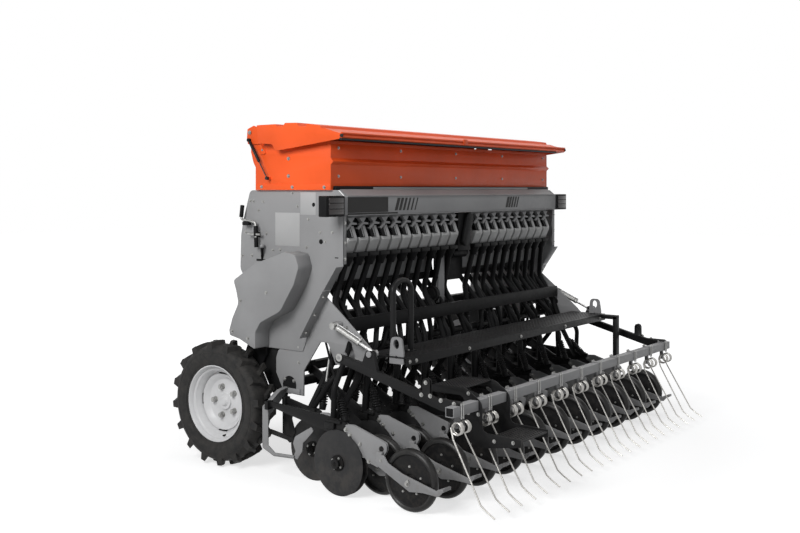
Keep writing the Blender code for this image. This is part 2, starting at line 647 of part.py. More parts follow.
def coulter(row, bank):
    """The pieces of one coulter: arm, two discs on a hub, press-wheel arm with its scraper, boot and seed tube."""
    x, y = row_x(row), bank_y(bank)
    rail_y, rail_z = REAR_RAIL if bank == "rear" else FRONT_RAIL
    arm = [(rail_y, rail_z - 0.020), (rail_y, rail_z + 0.020), (y + 0.070, 0.385), (y - 0.310, 0.328),
           (y - 0.296, 0.215), (y - 0.215, 0.210), (y - 0.070, 0.280), (y - 0.025, 0.160), (y + 0.025, 0.160),
           (y + 0.060, 0.325)]
    pieces = [
        plate(x - ARM_T / 2, x + ARM_T / 2, arm),
        disc(x - DISC_GAP / 2, y, -DISC_TOE),
        disc(x + DISC_GAP / 2, y, DISC_TOE),
        rod((x - 0.024, y, DISC_R), (x + 0.024, y, DISC_R), 0.026, 6),
    ]
    side = x - PRESS_WIDTH / 2 - RUNNING
    tail = [(y - 0.240, 0.300), (y - 0.330, 0.290), (y - 0.500, 0.180), (y - 0.660, 0.135), (y - 0.480, 0.125),
            (y - 0.270, 0.215)]
    pieces.append(plate(side - 0.008, side, tail))
    pieces.append(block((side - 0.004, y - 0.310, 0.235), (x, y - 0.265, 0.280)))
    tip, rest = spring_line(bank)
    tilt = math.atan2(abs(tip[0] - rest[0]), tip[1] - rest[1])
    shelf = sorted((x - outward(row) * 0.003, x + outward(row) * (OFFSET + SPRING_R)))
    shelf_top = rest[1] - SPRING_R * math.sin(tilt) - SEAT
    pieces.append(block((shelf[0], rest[0] - SPRING_R, 0.354), (shelf[1], rest[0] + SPRING_R, shelf_top)))
    inward = -outward(row)
    left_units, right_units = meter_x()
    start = (left_units + right_units)[row]
    share, knee_y, knee_z = (0.88, -0.110, 0.860) if bank == "rear" else (0.65, 0.130, 0.620)
    foot = (x + inward * OFFSET, y + (0.028 if bank == "rear" else -0.003), 0.360)
    knee = (start + share * (foot[0] - start), knee_y, knee_z)
    neck = METER_FOOT - SEAT
    pieces.append(pipe([(start, METER_Y, neck), (start, METER_Y, neck - 0.028), knee, foot], TUBE_R))
    boot = sorted((x, x + inward * (OFFSET + TUBE_R + 0.003)))
    pieces.append(block((boot[0], foot[1] - 0.022, 0.352), (boot[1], foot[1] + 0.022, 0.384)))
    return pieces


def coulter_banks():
    for bank, rail in (("rear", REAR_RAIL), ("front", FRONT_RAIL)):
        half = RAIL_SIZE / 2
        base = block((-ROW_REACH, rail[0] - half, rail[1] - half), (ROW_REACH, rail[0] + half, rail[1] + half))
        pieces = []
        for row in bank_rows(bank):
            pieces += coulter(row, bank)
        place(combine(base, pieces), f"coulter_bank_{bank}", "light_grey")


def press_wheels():
    rim, hub = PRESS_WIDTH / 2, PRESS_WIDTH / 2
    profile = [(0, hub), (0.040, hub), (PRESS_R, rim * 0.7), (PRESS_R, -rim * 0.7), (0.040, -hub), (0, -hub)]
    for bank in ("rear", "front"):
        for row in bank_rows(bank):
            centre = (row_x(row), bank_y(bank) - PRESS_BACK, PRESS_R)
            wheel = turned(profile, centre, 14)
            place(wheel, f"press_wheel_{bank}_{row + 1:02d}", "rubber", centre)


def pressure_shaft():
    base = rod((-ROW_REACH, *SHAFT), (ROW_REACH, *SHAFT), SHAFT_R, 8)
    pieces = []
    for bank in ("rear", "front"):
        tip, foot = spring_line(bank)
        for row in bank_rows(bank):
            x = row_x(row) + outward(row) * OFFSET
            pieces.append(beam(x - 0.005, x + 0.005, SHAFT, tip, 0.020))
            start, end = Vector((x, *tip)), Vector((x, *foot))
            up = (start - end).normalized()
            pieces.append(rod(start, end + up * (SPRING_LONG - 0.002), SPRING_ROD_R, 6))
            pieces.append(rod(end + up * SPRING_LONG, end, SPRING_R, 6))
    place(combine(base, pieces), "pressure_shaft", "black_paint")


# Drive wheels

def wheel_arms():
    outer = SIDE_X - SIDE_T - SEAT
    y, z = FRONT_BEAM
    outline = fillet([(y - 0.055, z - 0.100, 0.02), (WHEEL_Y - 0.030, WHEEL_R - 0.045, 0.035),
                      (WHEEL_Y + 0.045, WHEEL_R - 0.040, 0.035), (WHEEL_Y + 0.035, WHEEL_R + 0.050, 0.03),
                      (y + 0.060, z + 0.050, 0.02), (y - 0.055, z + 0.050, 0.02)], 2)
    for name, side in SIDES:
        arm = plate(side * (outer - 0.025), side * outer, outline)
        stub = rod((side * (outer - 0.010), WHEEL_Y, WHEEL_R), (side * (WHEEL_X - 0.040 - RUNNING), WHEEL_Y, WHEEL_R), STUB_R)
        place(combine(arm, [stub]), f"wheel_arm_{name}", "black_paint")


def drive_wheels():
    half = WHEEL_WIDTH / 2
    carcass = WHEEL_R - LUG_HIGH
    bead = RIM_R + RUNNING
    tyre_profile = [(carcass, 0.034), (carcass, -0.034), (carcass - 0.015, -0.068), (0.280, -half),
                    (bead, -0.062), (bead, 0.062), (0.280, half), (carcass - 0.015, 0.068)]
    rim_profile = [(0, 0.035), (0.042, 0.035), (0.052, 0.012), (0.110, 0.026), (0.182, 0.004),
                   (0.182, 0.066), (RIM_R, 0.066), (RIM_R, -0.066), (0.182, -0.066), (0.182, -0.006),
                   (0.050, 0.004), (0.050, -0.040), (0, -0.040)]
    for name, side in SIDES:
        centre = (side * WHEEL_X, WHEEL_Y, WHEEL_R)
        tyre = turned(tyre_profile, centre, 22, side, True)
        lugs = []
        for index in range(LUG_COUNT * 2):
            hand = 1 if index % 2 else -1
            angle = math.tau * (index / 2) / LUG_COUNT
            bm = bmesh.new()
            bmesh.ops.create_cube(bm, size=1.0)
            form = (Matrix.Translation(centre) @ Matrix.Rotation(angle, 4, "X")
                    @ Matrix.Translation((hand * 0.036, 0, WHEEL_R - 0.020)) @ Matrix.Rotation(hand * 0.75, 4, "Z")
                    @ Matrix.Diagonal((0.088, 0.022, 0.038, 1)))
            bmesh.ops.transform(bm, matrix=form, verts=bm.verts)
            lugs.append(solid(bm))
        place(combine(tyre, lugs), f"tyre_{name}", "rubber", centre)
        place(turned(rim_profile, centre, 22, side), f"rim_{name}", "wheel_white", centre, smooth=True)


# Harrow

def harrow_arms():
    x_in, x_out = HARROW_ARM_X - HARROW_ARM_T / 2, HARROW_ARM_X + HARROW_ARM_T / 2
    half = HARROW_BAR_SIZE / 2 + SEAT
    by, bz = HARROW_BAR
    py, pz = HARROW_PIVOT
    ey, ez = CYLINDER_EYE
    outline = fillet([(py + 0.030, pz + 0.020, 0.02), (ey + 0.050, pz - 0.015, 0), (ey + 0.024, ez + 0.016, 0.015),
                      (ey - 0.024, ez + 0.016, 0.015), (ey - 0.050, pz - 0.050, 0), (by + 0.120, bz + 0.045, 0),
                      (by - half, bz + 0.045, 0.015), (by - half, bz + half, 0), (by + half, bz + half, 0),
                      (by + half, bz - 0.020, 0), (by + 0.100, bz - 0.010, 0),
                      (py - 0.020, pz - 0.035, 0.02), (py + 0.030, pz - 0.030, 0.02)], 2)
    for name, side in SIDES:
        arm = plate(side * x_in, side * x_out, outline, [circle(HARROW_PIVOT, PIN_BORE)])
        stud = rod((side * (x_in + 0.002), *CYLINDER_EYE), (side * (CYLINDER_X + 0.010 + SEAT), *CYLINDER_EYE), PIN_R)
        lug = fillet([(LUG_EYE[0] - 0.024, LUG_EYE[1] - 0.078, 0), (LUG_EYE[0] + 0.024, LUG_EYE[1] - 0.070, 0),
                      (LUG_EYE[0] + 0.022, LUG_EYE[1] + 0.022, 0.020), (LUG_EYE[0] - 0.022, LUG_EYE[1] + 0.022, 0.020)], 2)
        lugs = [plate(side * x, side * (x + 0.006), lug, [circle(LUG_EYE, 0.008, 8)])
                for x in (x_in + 0.0005, x_out - 0.0065)]
        place(combine(arm, [stud, *lugs]), f"harrow_arm_{name}", "black_paint", (0, *HARROW_PIVOT))


def tine(x):
    """One double spring tine: a leg, a coil, the bridge under the bar, the second coil and its leg."""
    cy, cz = COIL_CENTRE
    turns, per_turn, pitch = 1.5, 5, 0.011
    count = int(turns * per_turn)
    half_points = []
    for step in range(count + 1):
        angle = math.radians(0) + math.tau * step / per_turn
        half_points.append((0.020 + pitch * step / per_turn, cy + COIL_R * math.cos(angle), cz + COIL_R * math.sin(angle)))
    leg_x = TINE_SPREAD / 2
    half_points += [(leg_x, *TINE_BEND), (leg_x, *TINE_TIP)]
    right = [(x + px, py, pz) for px, py, pz in half_points]
    left = [(x - px, py, pz) for px, py, pz in reversed(half_points)]
    wire = pipe(left + right, WIRE_R, 0)
    by, bz = HARROW_BAR
    clamp = block((x - 0.014, cy + COIL_R - 0.012, cz - 0.008), (x + 0.014, by + 0.030, bz - HARROW_BAR_SIZE / 2 + 0.002))
    return [wire, clamp]


def harrow_bar():
    by, bz = HARROW_BAR
    half, wall = HARROW_BAR_SIZE / 2, 0.005
    ring = [(by - half, bz - half), (by + half, bz - half), (by + half, bz + half), (by - half, bz + half)]
    inner = [(by + (y - by) * (1 - wall / half), bz + (z - bz) * (1 - wall / half)) for y, z in ring]
    tube = plate(-HARROW_HALF, HARROW_HALF, ring, [inner])
    pieces = []
    for index in range(TINES):
        pieces += tine((index - (TINES - 1) / 2) * TINE_PITCH)
    place(combine(tube, pieces), "harrow_bar", "light_grey", (0, *HARROW_PIVOT))


def harrow_step():
    by, bz = HARROW_BAR
    half = HARROW_BAR_SIZE / 2 + SEAT
    square = [(by - half, bz - half), (by + half, bz - half), (by + half, bz + half), (by - half, bz + half)]
    outline = fillet([(-0.520, 0.575, 0), (-0.560, 0.602, 0.02), (-0.760, 0.602, 0.06), (-0.858, 0.535, 0.05),
                      (-0.858, 0.385, 0.03), (-1.085, 0.378, 0), (-1.085, 0.340, 0), (-0.900, 0.310, 0),
                      (-0.800, 0.306, 0.05), (-0.750, 0.420, 0), (-0.750, 0.560, 0.03), (-0.520, 0.560, 0)])
    x_low, x_high, wall = -1.165, -0.885, 0.005
    cheeks = [plate(x, x + wall, outline, [square]) for x in (x_low, x_high)]
    upper = block((x_low + 0.002, -0.740, 0.592), (x_high + 0.003, -0.550, 0.598))
    lower = block((x_low + 0.002, -1.083, 0.362), (x_high + 0.003, -0.906, 0.370))
    place(combine(cheeks[0], [cheeks[1], upper, lower]), "harrow_step", "black_paint", (0, *HARROW_PIVOT))


def cylinders():
    head, eye = Vector((0, *CYLINDER_HEAD)), Vector((0, *CYLINDER_EYE))
    along = (eye - head).normalized()
    for name, side in SIDES:
        x = Vector((side * CYLINDER_X, 0, 0))
        half = Vector((side * CYLINDER_R, 0, 0))
        barrel = rod(x + head + along * 0.012, x + head + along * 0.200, CYLINDER_R)
        boss = rod(x + head - half, x + head + half, 0.022)
        barrel = combine(barrel, [boss])
        bore = rod(x + head - half * 2, x + head + half * 2, PIN_BORE)
        hole = rod(x + head + along * 0.060, x + head + along * 0.220, CYLINDER_ROD_R + 0.001)
        place(combine(barrel, [bore, hole], "DIFFERENCE"), f"cylinder_barrel_{name}", "steel", x + head)
        stem = rod(x + head + along * 0.150, x + eye - along * 0.006, CYLINDER_ROD_R)
        half = Vector((side * 0.010, 0, 0))
        ring = rod(x + eye - half, x + eye + half, 0.020)
        place(combine(stem, [ring]), f"cylinder_rod_{name}", "steel", x + eye)


def crank():
    """The calibration crank: an upright shaft in its bearing, an arm forwards and a grip."""
    shaft = pipe([(CRANK_X, 0.638, 1.289), (CRANK_X, 0.644, 1.433), (CRANK_X, 0.764, 1.449), (CRANK_X, 0.751, 1.530)],
                 0.008, 1)
    bearing = rod((-SIDE_X - SEAT, *CRANK_BEARING), (CRANK_X, *CRANK_BEARING), 0.016)
    grip = rod((CRANK_X, 0.7617, 1.463), (CRANK_X, 0.7506, 1.532), 0.012)
    place(combine(shaft, [bearing, grip]), "crank_handle", "steel")


def main():
    for old in list(bpy.data.objects):
        bpy.data.objects.remove(old)
    bpy.context.scene.collection.children.link(parts)
    bpy.context.scene.collection.children.link(cutters)
    frame = bpy.data.objects.new("working_frame", None)
    bpy.context.scene.collection.objects.link(frame)
    frame.location = (0, -FOOTPRINT_MIDDLE, 0)
    paints()
    for make in (side_plates, chassis_plates, chain_guards, rear_beam, hopper, lid, gas_struts, metering_banks,
                 metering_drive, frame_beams, headstock, walkway, handrail, coulter_banks, press_wheels,
                 pressure_shaft, wheel_arms, drive_wheels, harrow_arms, harrow_bar, harrow_step, cylinders, crank):
        make()


main()
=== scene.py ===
# %% [markdown]
# # Dressing a seed drill
# The frame is loaded first: it holds every solid of the drill at its real place, and each new piece is
# built in the same metres.

# %% Load the frame
import math

import bmesh
import bpy
from mathutils import Matrix, Vector


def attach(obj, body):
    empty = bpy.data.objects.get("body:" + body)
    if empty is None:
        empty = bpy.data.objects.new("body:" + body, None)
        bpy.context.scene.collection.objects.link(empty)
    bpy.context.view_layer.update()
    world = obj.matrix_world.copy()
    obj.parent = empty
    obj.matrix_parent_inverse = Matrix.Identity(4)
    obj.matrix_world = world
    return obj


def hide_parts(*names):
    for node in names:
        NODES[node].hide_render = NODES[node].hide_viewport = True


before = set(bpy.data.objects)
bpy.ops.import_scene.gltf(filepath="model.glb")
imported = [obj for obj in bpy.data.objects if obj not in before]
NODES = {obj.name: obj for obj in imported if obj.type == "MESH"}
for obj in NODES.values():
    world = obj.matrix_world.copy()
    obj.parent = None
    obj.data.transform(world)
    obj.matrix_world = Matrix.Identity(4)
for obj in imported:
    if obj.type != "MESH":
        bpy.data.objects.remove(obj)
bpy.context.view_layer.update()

# %% [markdown]
# The drill is drawn with y = 0 at the rear edge of its side plates, while the frame's origin is under
# the middle of the machine. Every piece is drawn in those handy sizes, then shifted once by this much.

# %% Sizes
MIDDLE = 0.0775
ROWS = 21
PITCH = 3.0 / ROWS
ROW_STEP = (2 * PITCH, 0, 0)
SIDE_X = 1.240
REAR_Y, FRONT_Y = -0.133, 0.168
REAR_RAIL, FRONT_RAIL = (0.345, 0.600), (0.405, 0.505)
PLATES_IN = 1.2234
DISC_R = 0.175
PRESS_R = 0.160
PRESS_BACK = 0.472
SIDES = (("left", -1), ("right", 1))
BANKS = (("rear", REAR_Y, REAR_RAIL, 0), ("front", FRONT_Y, FRONT_RAIL, 1))


def row_x(row):
    return (row - (ROWS - 1) / 2) * PITCH


def rows_of(first):
    return list(range(first, ROWS, 2))


print("rows from", round(row_x(0), 3), "to", round(row_x(ROWS - 1), 3))

# %% [markdown]
# Three small functions do what every scene needs again and again: one puts data into the scene as an
# object, one fills a socket, and one adds a node with its properties and inputs.

# %% Objects and nodes


def put(name, data):
    """An object that shows the data."""
    thing = bpy.data.objects.new(name, data)
    bpy.context.scene.collection.objects.link(thing)
    return thing


def fill(tree, socket, value):
    """Wire an output to a socket, or set the socket to a plain value."""
    if isinstance(value, bpy.types.NodeSocket):
        tree.links.new(value, socket)
    else:
        socket.default_value = value


def add(tree, kind, inputs=None, **properties):
    """A new node with its properties set and its inputs filled."""
    node = tree.nodes.new(kind)
    for label, value in properties.items():
        setattr(node, label, value)
    for label, value in (inputs or {}).items():
        fill(tree, node.inputs[label], value)
    return node


print("3 helpers")

# %% [markdown]
# The camera stands behind the left side, level, at eye height. Its shift keeps upright edges upright,
# as they are in the photograph.

# %% Camera
camera_data = bpy.data.cameras.new("camera")
camera_data.lens = 46.22
camera_data.sensor_width = 36.0
camera_data.shift_y = -0.0959
camera = put("camera", camera_data)
camera.location = (-5.6343, -3.7110, 1.6246)
camera.rotation_euler = Vector((0.8049, 0.5937, 0.0)).to_track_quat("-Z", "Y").to_euler()
bpy.context.scene.camera = camera
print("camera at", [round(part, 2) for part in camera.location])

# %% [markdown]
# A white page surrounds the drill in the photograph. The world is white only for rays that come from the
# camera or off shiny metal, and a soft grey for the light that falls on the paint, so nothing washes out.

# %% World
WHITE = (1, 1, 1, 1)


def seen_rays(tree):
    """One for rays from the camera, off shiny metal or through glass, otherwise nought."""
    rays = add(tree, "ShaderNodeLightPath").outputs
    seen = rays["Is Camera Ray"]
    for kind in ("Is Glossy Ray", "Is Transmission Ray"):
        seen = add(tree, "ShaderNodeMath", {0: seen, 1: rays[kind]}, operation="MAXIMUM").outputs[0]
    return seen


bpy.context.scene.view_settings.view_transform = "Standard"
world = bpy.data.worlds.new("studio")
bpy.context.scene.world = world
world.use_nodes = True
air = world.node_tree
air.nodes.clear()
soft = add(air, "ShaderNodeBackground", {"Color": (0.93, 0.96, 1.0, 1), "Strength": 0.19})
page = add(air, "ShaderNodeBackground", {"Color": WHITE, "Strength": 1.0})
sky = add(air, "ShaderNodeMixShader", {"Fac": seen_rays(air), 1: soft.outputs[0], 2: page.outputs[0]})
add(air, "ShaderNodeOutputWorld", {"Surface": sky.outputs[0]})
print("world of", len(air.nodes), "nodes")

# %% [markdown]
# One big soft lamp stands high on the left, where the photograph's light comes from. A weaker one fills in
# from behind the drill, and a third lights what faces up.

# %% Studio lamps
for name, place, aim, size, power in (("key", (-6.5, -0.5, 4.2), (0, 0, 0.9), 2.6, 330),
                                      ("fill", (-1.5, -7.5, 3.0), (0, 0, 0.8), 3.5, 30),
                                      ("top", (0.8, -1.0, 6.5), (0, 0, 0.8), 3.0, 82)):
    data = bpy.data.lights.new(name, "AREA")
    data.size = size
    data.energy = power
    lamp = put(name, data)
    lamp.location = place
    lamp.rotation_euler = (Vector(aim) - Vector(place)).to_track_quat("-Z", "Y").to_euler()
    print("lamp", name, power)

# %% [markdown]
# The floor is one wide sheet. To the camera it glows almost white, and the lamps add the rest, so it
# blends into the page and keeps the soft shadow under the drill.

# %% Floor
FLOOR_HALF = 30
floor_bm = bmesh.new()
bmesh.ops.create_grid(floor_bm, x_segments=1, y_segments=1, size=FLOOR_HALF)
floor_mesh = bpy.data.meshes.new("floor")
floor_bm.to_mesh(floor_mesh)
floor_bm.free()
floor = put("floor", floor_mesh)
floor.location = (0, 0, -0.0005)
pale = bpy.data.materials.new("pale_floor")
pale.use_nodes = True
ground = pale.node_tree
ground.nodes.clear()
matt = add(ground, "ShaderNodeBsdfDiffuse", {"Color": (0.52, 0.52, 0.52, 1)}).outputs[0]
spot = add(ground, "ShaderNodeTexCoord").outputs["Object"]
away = add(ground, "ShaderNodeVectorMath", {0: spot}, operation="LENGTH").outputs["Value"]
reach = add(ground, "ShaderNodeMapRange", {"Value": away, "From Min": 1.6, "From Max": 4.5, "To Min": 0.66,
                                           "To Max": 1.0}).outputs["Result"]
glow = add(ground, "ShaderNodeEmission", {"Color": WHITE, "Strength": reach}).outputs[0]
lit = add(ground, "ShaderNodeAddShader", {0: matt, 1: glow}).outputs[0]
mixed = add(ground, "ShaderNodeMixShader", {"Fac": seen_rays(ground), 1: matt, 2: lit}).outputs[0]
add(ground, "ShaderNodeOutputMaterial", {"Surface": mixed})
floor_mesh.materials.append(pale)
print("floor laid")

# %% [markdown]
# ## Finishes
# Sheet steel with stove enamel is never one flat colour: the coat swells a little from place to place,
# dust settles on what faces up, and soil dulls what is near the ground. One function builds that coat,
# all of it from Object coordinates, so that it stays put on a piece that moves.


def noise(tree, coords, scale, detail=3.0, roughness=0.5):
    """A noise field over the piece."""
    wires = {"Scale": scale, "Detail": detail, "Roughness": roughness, "Vector": coords}
    return add(tree, "ShaderNodeTexNoise", wires).outputs["Fac"]


def spread(tree, value, low, high, to_low=0.0, to_high=1.0):
    """Map a value's range onto another, held at both ends."""
    wires = {"Value": value, "From Min": low, "From Max": high, "To Min": to_low, "To Max": to_high}
    return add(tree, "ShaderNodeMapRange", wires, clamp=True).outputs["Result"]


def times(tree, first, second):
    """The product of two values."""
    return add(tree, "ShaderNodeMath", {0: first, 1: second}, operation="MULTIPLY").outputs[0]


def blend_colour(tree, factor, first, second):
    """A mix of two colours, each an output or a plain triple."""
    node = add(tree, "ShaderNodeMix", data_type="RGBA")
    for label, value in (("Factor", factor), ("A", first), ("B", second)):
        fill(tree, node.inputs[label], (*value, 1) if isinstance(value, tuple) else value)
    return node.outputs["Result"]


def bump(tree, shader, height, strength, distance):
    """A fine relief in the shading."""
    wires = {"Strength": strength, "Distance": distance, "Height": height}
    fill(tree, shader.inputs["Normal"], add(tree, "ShaderNodeBump", wires).outputs["Normal"])


def axis_z(tree, vector):
    """The upright part of a vector."""
    return add(tree, "ShaderNodeSeparateXYZ", {0: vector}).outputs["Z"]


def start_material(name):
    """A new material, the slot it stands for, and the parts every finish starts from."""
    material = bpy.data.materials.new(name)
    material.use_nodes = True
    tree = material.node_tree
    return material, tree, tree.nodes["Principled BSDF"], add(tree, "ShaderNodeTexCoord").outputs["Object"]


def coat(name, colour, rough, shine=0.3, dust=0.25, soil=0.35, peel=0.05, gloss=0.0, grain=180.0):
    """A coat of colour with mottling, dust on top, soil low down and a fine skin."""
    material, tree, shader, coords = start_material(name)
    mottle = spread(tree, noise(tree, coords, 2.3, 4), 0.3, 0.7)
    deep = tuple(part * 0.86 for part in colour)
    pale_coat = tuple(min(1.0, part * 1.08 + 0.004) for part in colour)
    base = blend_colour(tree, mottle, deep, pale_coat)
    fine = noise(tree, coords, 38.0, 5, 0.6)
    facing = axis_z(tree, add(tree, "ShaderNodeNewGeometry").outputs["Normal"])
    settled = times(tree, spread(tree, facing, 0.55, 1.0), spread(tree, fine, 0.42, 0.68, 0.0, dust))
    base = blend_colour(tree, settled, base, (0.50, 0.47, 0.43))
    low_down = times(tree, spread(tree, axis_z(tree, coords), 0.42, 0.02),
                     spread(tree, fine, 0.45, 0.66, 0.0, soil))
    base = blend_colour(tree, low_down, base, (0.16, 0.135, 0.11))
    fill(tree, shader.inputs["Base Color"], base)
    shader.inputs["Specular IOR Level"].default_value = shine
    fill(tree, shader.inputs["Roughness"], spread(tree, fine, 0.3, 0.7, rough - 0.06, rough + 0.10))
    if gloss:
        shader.inputs["Coat Weight"].default_value = gloss
        shader.inputs["Coat Roughness"].default_value = 0.12
    bump(tree, shader, noise(tree, coords, grain, 2), peel, 0.0015)
    return material


ORANGE = coat("orange_enamel", (0.86, 0.105, 0.018), 0.40, 0.20, dust=0.05, soil=0.0, gloss=0.06)
PANEL = coat("panel_enamel", (0.272, 0.272, 0.275), 0.45, dust=0.14, soil=0.20, gloss=0.03)
LIGHT = coat("light_enamel", (0.27, 0.27, 0.274), 0.42, dust=0.10, soil=0.25, gloss=0.03)
BLACK = coat("black_enamel", (0.008, 0.008, 0.0084), 0.42, 0.12, dust=0.015, soil=0.12,
             gloss=0.04)
WHEEL = coat("wheel_enamel", (0.60, 0.60, 0.605), 0.36, 0.35, dust=0.06, soil=0.12,
             gloss=0.05)
HOOD = coat("hood_plastic", (0.49, 0.49, 0.485), 0.45, 0.25, dust=0.10, soil=0.0,
            peel=0.03, grain=400.0)
DARK = coat("dark_plastic", (0.006, 0.006, 0.0064), 0.50, 0.08, dust=0.015, soil=0.10,
            peel=0.08, grain=500.0)
LENS = coat("smoked_lens", (0.020, 0.014, 0.014), 0.20, dust=0.03, soil=0.0, peel=0.0,
            gloss=0.2)
BLANK = coat("blank_plate", (0.40, 0.40, 0.40), 0.5, dust=0.05, soil=0.0, peel=0.02)

# %% [markdown]
# Bare metal comes in four kinds here: zinc plate with its cloudy spangle on bolts and cylinders, bright
# steel on piston rods, greyer spring wire, and the dark ground steel of the discs.

# %% Metals


def metal(name, colour, rough, cloud, soil=0.3, bare=1.0):
    """Clouded bare metal with soil low down."""
    material, tree, shader, coords = start_material(name)
    fine = noise(tree, coords, cloud, 5, 0.65)
    base = blend_colour(tree, spread(tree, fine, 0.35, 0.65), tuple(part * 0.72 for part in colour), colour)
    low_down = times(tree, spread(tree, axis_z(tree, coords), 0.36, 0.02),
                     spread(tree, fine, 0.42, 0.62, 0.0, soil))
    base = blend_colour(tree, low_down, base, (0.13, 0.11, 0.09))
    fill(tree, shader.inputs["Base Color"], base)
    shader.inputs["Metallic"].default_value = bare
    shader.inputs["Specular IOR Level"].default_value = 0.3
    fill(tree, shader.inputs["Roughness"], spread(tree, fine, 0.3, 0.7, rough - 0.08, rough + 0.14))
    bump(tree, shader, noise(tree, coords, cloud * 6, 2), 0.06, 0.001)
    return material


ZINC = metal("zinc_plate", (0.40, 0.40, 0.39), 0.42, 45.0)
BRIGHT = metal("bright_steel", (0.62, 0.62, 0.62), 0.26, 70.0, soil=0.1)
SPRING = metal("spring_steel", (0.44, 0.43, 0.41), 0.34, 60.0, soil=0.2)
DISC = metal("disc_steel", (0.026, 0.026, 0.027), 0.42, 14.0, soil=0.20, bare=0.35)
print("4 metals")

# %% [markdown]
# Tyre rubber is dull and nearly black, greyed where it has run on the ground. The press wheels have the
# same rubber, but smooth and shinier, because soil polishes them. The lid's seal is the blackest.

# %% Rubber


def rubber(name, colour, rough, worn):
    """Dull rubber, greyed in patches."""
    material, tree, shader, coords = start_material(name)
    cloud = noise(tree, coords, 22.0, 5, 0.6)
    base = blend_colour(tree, spread(tree, cloud, 0.35, 0.7, 0.0, worn), colour, (0.13, 0.12, 0.11))
    fill(tree, shader.inputs["Base Color"], base)
    fill(tree, shader.inputs["Roughness"], spread(tree, cloud, 0.3, 0.7, rough - 0.1, rough + 0.08))
    shader.inputs["Specular IOR Level"].default_value = 0.25
    bump(tree, shader, noise(tree, coords, 300.0, 2), 0.12, 0.001)
    return material


TYRE = rubber("tyre_rubber", (0.010, 0.010, 0.010), 0.70, 0.22)
RING = rubber("press_rubber", (0.009, 0.009, 0.009), 0.38, 0.12)
SEAL = rubber("seal_rubber", (0.005, 0.005, 0.005), 0.6, 0.10)
print("3 rubbers")

# %% [markdown]
# ## Making shapes
# Every new piece is a mesh drawn in drawing sizes. Small helpers pour boxes, bars, sheets and turned
# shapes into one mesh, so that everything with the same finish on the same body becomes one object.

# %% Shape helpers


def pour(target, part, matrix=None):
    """Add one small mesh to a bigger one."""
    if matrix is not None:
        bmesh.ops.transform(part, matrix=matrix, verts=part.verts)
    carrier = bpy.data.meshes.new("part")
    part.to_mesh(carrier)
    part.free()
    target.from_mesh(carrier)
    bpy.data.meshes.remove(carrier)


def bevel(part, edges, width, **options):
    """Round some edges in two steps."""
    bmesh.ops.bevel(part, geom=edges, offset=width, segments=2, profile=0.5, affect="EDGES", **options)


def thicken(part, faces, shift):
    """Pull faces out by a shift, and turn every face of the closed shape outwards."""
    grown = bmesh.ops.extrude_face_region(part, geom=faces)
    moved = [item for item in grown["geom"] if isinstance(item, bmesh.types.BMVert)]
    bmesh.ops.translate(part, vec=shift, verts=moved)
    bmesh.ops.recalc_face_normals(part, faces=part.faces)


def box(target, low, high, soften=0.0, matrix=None):
    """A box between two corners, its edges rounded by soften."""
    low, high = Vector(low), Vector(high)
    size = high - low
    part = bmesh.new()
    bmesh.ops.create_cube(part, size=1.0)
    stretch = Matrix.Diagonal((abs(size.x), abs(size.y), abs(size.z), 1))
    bmesh.ops.transform(part, matrix=Matrix.Translation((low + high) / 2) @ stretch, verts=part.verts)
    if soften:
        bevel(part, part.edges[:], soften)
    pour(target, part, matrix)


def bar(target, start, end, width_x, depth, soften=0.0):
    """A flat bar between two points of a y-z plane."""
    start, end = Vector(start), Vector(end)
    along = end - start
    turn = Matrix.Translation((start + end) / 2) @ Matrix.Rotation(math.atan2(along.z, along.y), 4, "X")
    half = Vector((width_x, along.length, depth)) / 2
    box(target, -half, half, soften, turn)


def rod(target, start, end, radius, sides=16, soften=0.0, radius_end=None):
    """A round bar, or a cone, from one point to another."""
    start, end = Vector(start), Vector(end)
    along = end - start
    part = bmesh.new()
    bmesh.ops.create_cone(part, cap_ends=True, segments=sides, radius1=radius,
                          radius2=radius if radius_end is None else radius_end, depth=along.length)
    if soften:
        rims = [edge for edge in part.edges if any(len(face.verts) > 4 for face in edge.link_faces)]
        bevel(part, rims, soften)
    turn = along.to_track_quat("Z", "Y").to_matrix().to_4x4()
    pour(target, part, Matrix.Translation((start + end) / 2) @ turn)


def pin(target, x_from, x_to, centre, *form):
    """A round bar along the x axis; form is radius, sides, soften and end radius."""
    rod(target, (x_from, *centre), (x_to, *centre), *form)


def sheet(target, x_from, x_to, outline, soften=0.0):
    """A plate in the y-z plane between two x, with its rims rounded by soften."""
    part = bmesh.new()
    face = part.faces.new([part.verts.new((min(x_from, x_to), y, z)) for y, z in outline])
    thicken(part, [face], (abs(x_to - x_from), 0, 0))
    if soften:
        bevel(part, list({edge for f in part.faces if abs(f.normal.x) > 0.9 for edge in f.edges}), soften)
    pour(target, part)


def crosswise(target, y_from, y_to, outline, soften=0.0):
    """A plate in the x-z plane between two y."""
    part = bmesh.new()
    sheet(part, -y_from, -y_to, outline, soften)
    pour(target, part, Matrix.Rotation(-math.pi / 2, 4, "Z"))


def lathe(target, profile, centre, steps=32, outward=1, matrix=None):
    """A closed shape turned about the x axis from (radius, height) points."""
    part = bmesh.new()
    rings = []
    for radius, height in profile:
        if radius < 0.00001:
            rings.append([part.verts.new((outward * height, 0, 0))])
            continue
        rings.append([part.verts.new((outward * height, y, z)) for y, z in around((0, 0), radius, steps)])
    for first, second in zip(rings, rings[1:]):
        for step in range(steps):
            after = (step + 1) % steps
            corners = [first[step % len(first)], first[after % len(first)],
                       second[after % len(second)], second[step % len(second)]]
            unique = list(dict.fromkeys(corners))
            if len(unique) > 2:
                part.faces.new(unique)
    bmesh.ops.recalc_face_normals(part, faces=part.faces)
    form = Matrix.Translation(Vector(centre))
    pour(target, part, form @ matrix if matrix is not None else form)


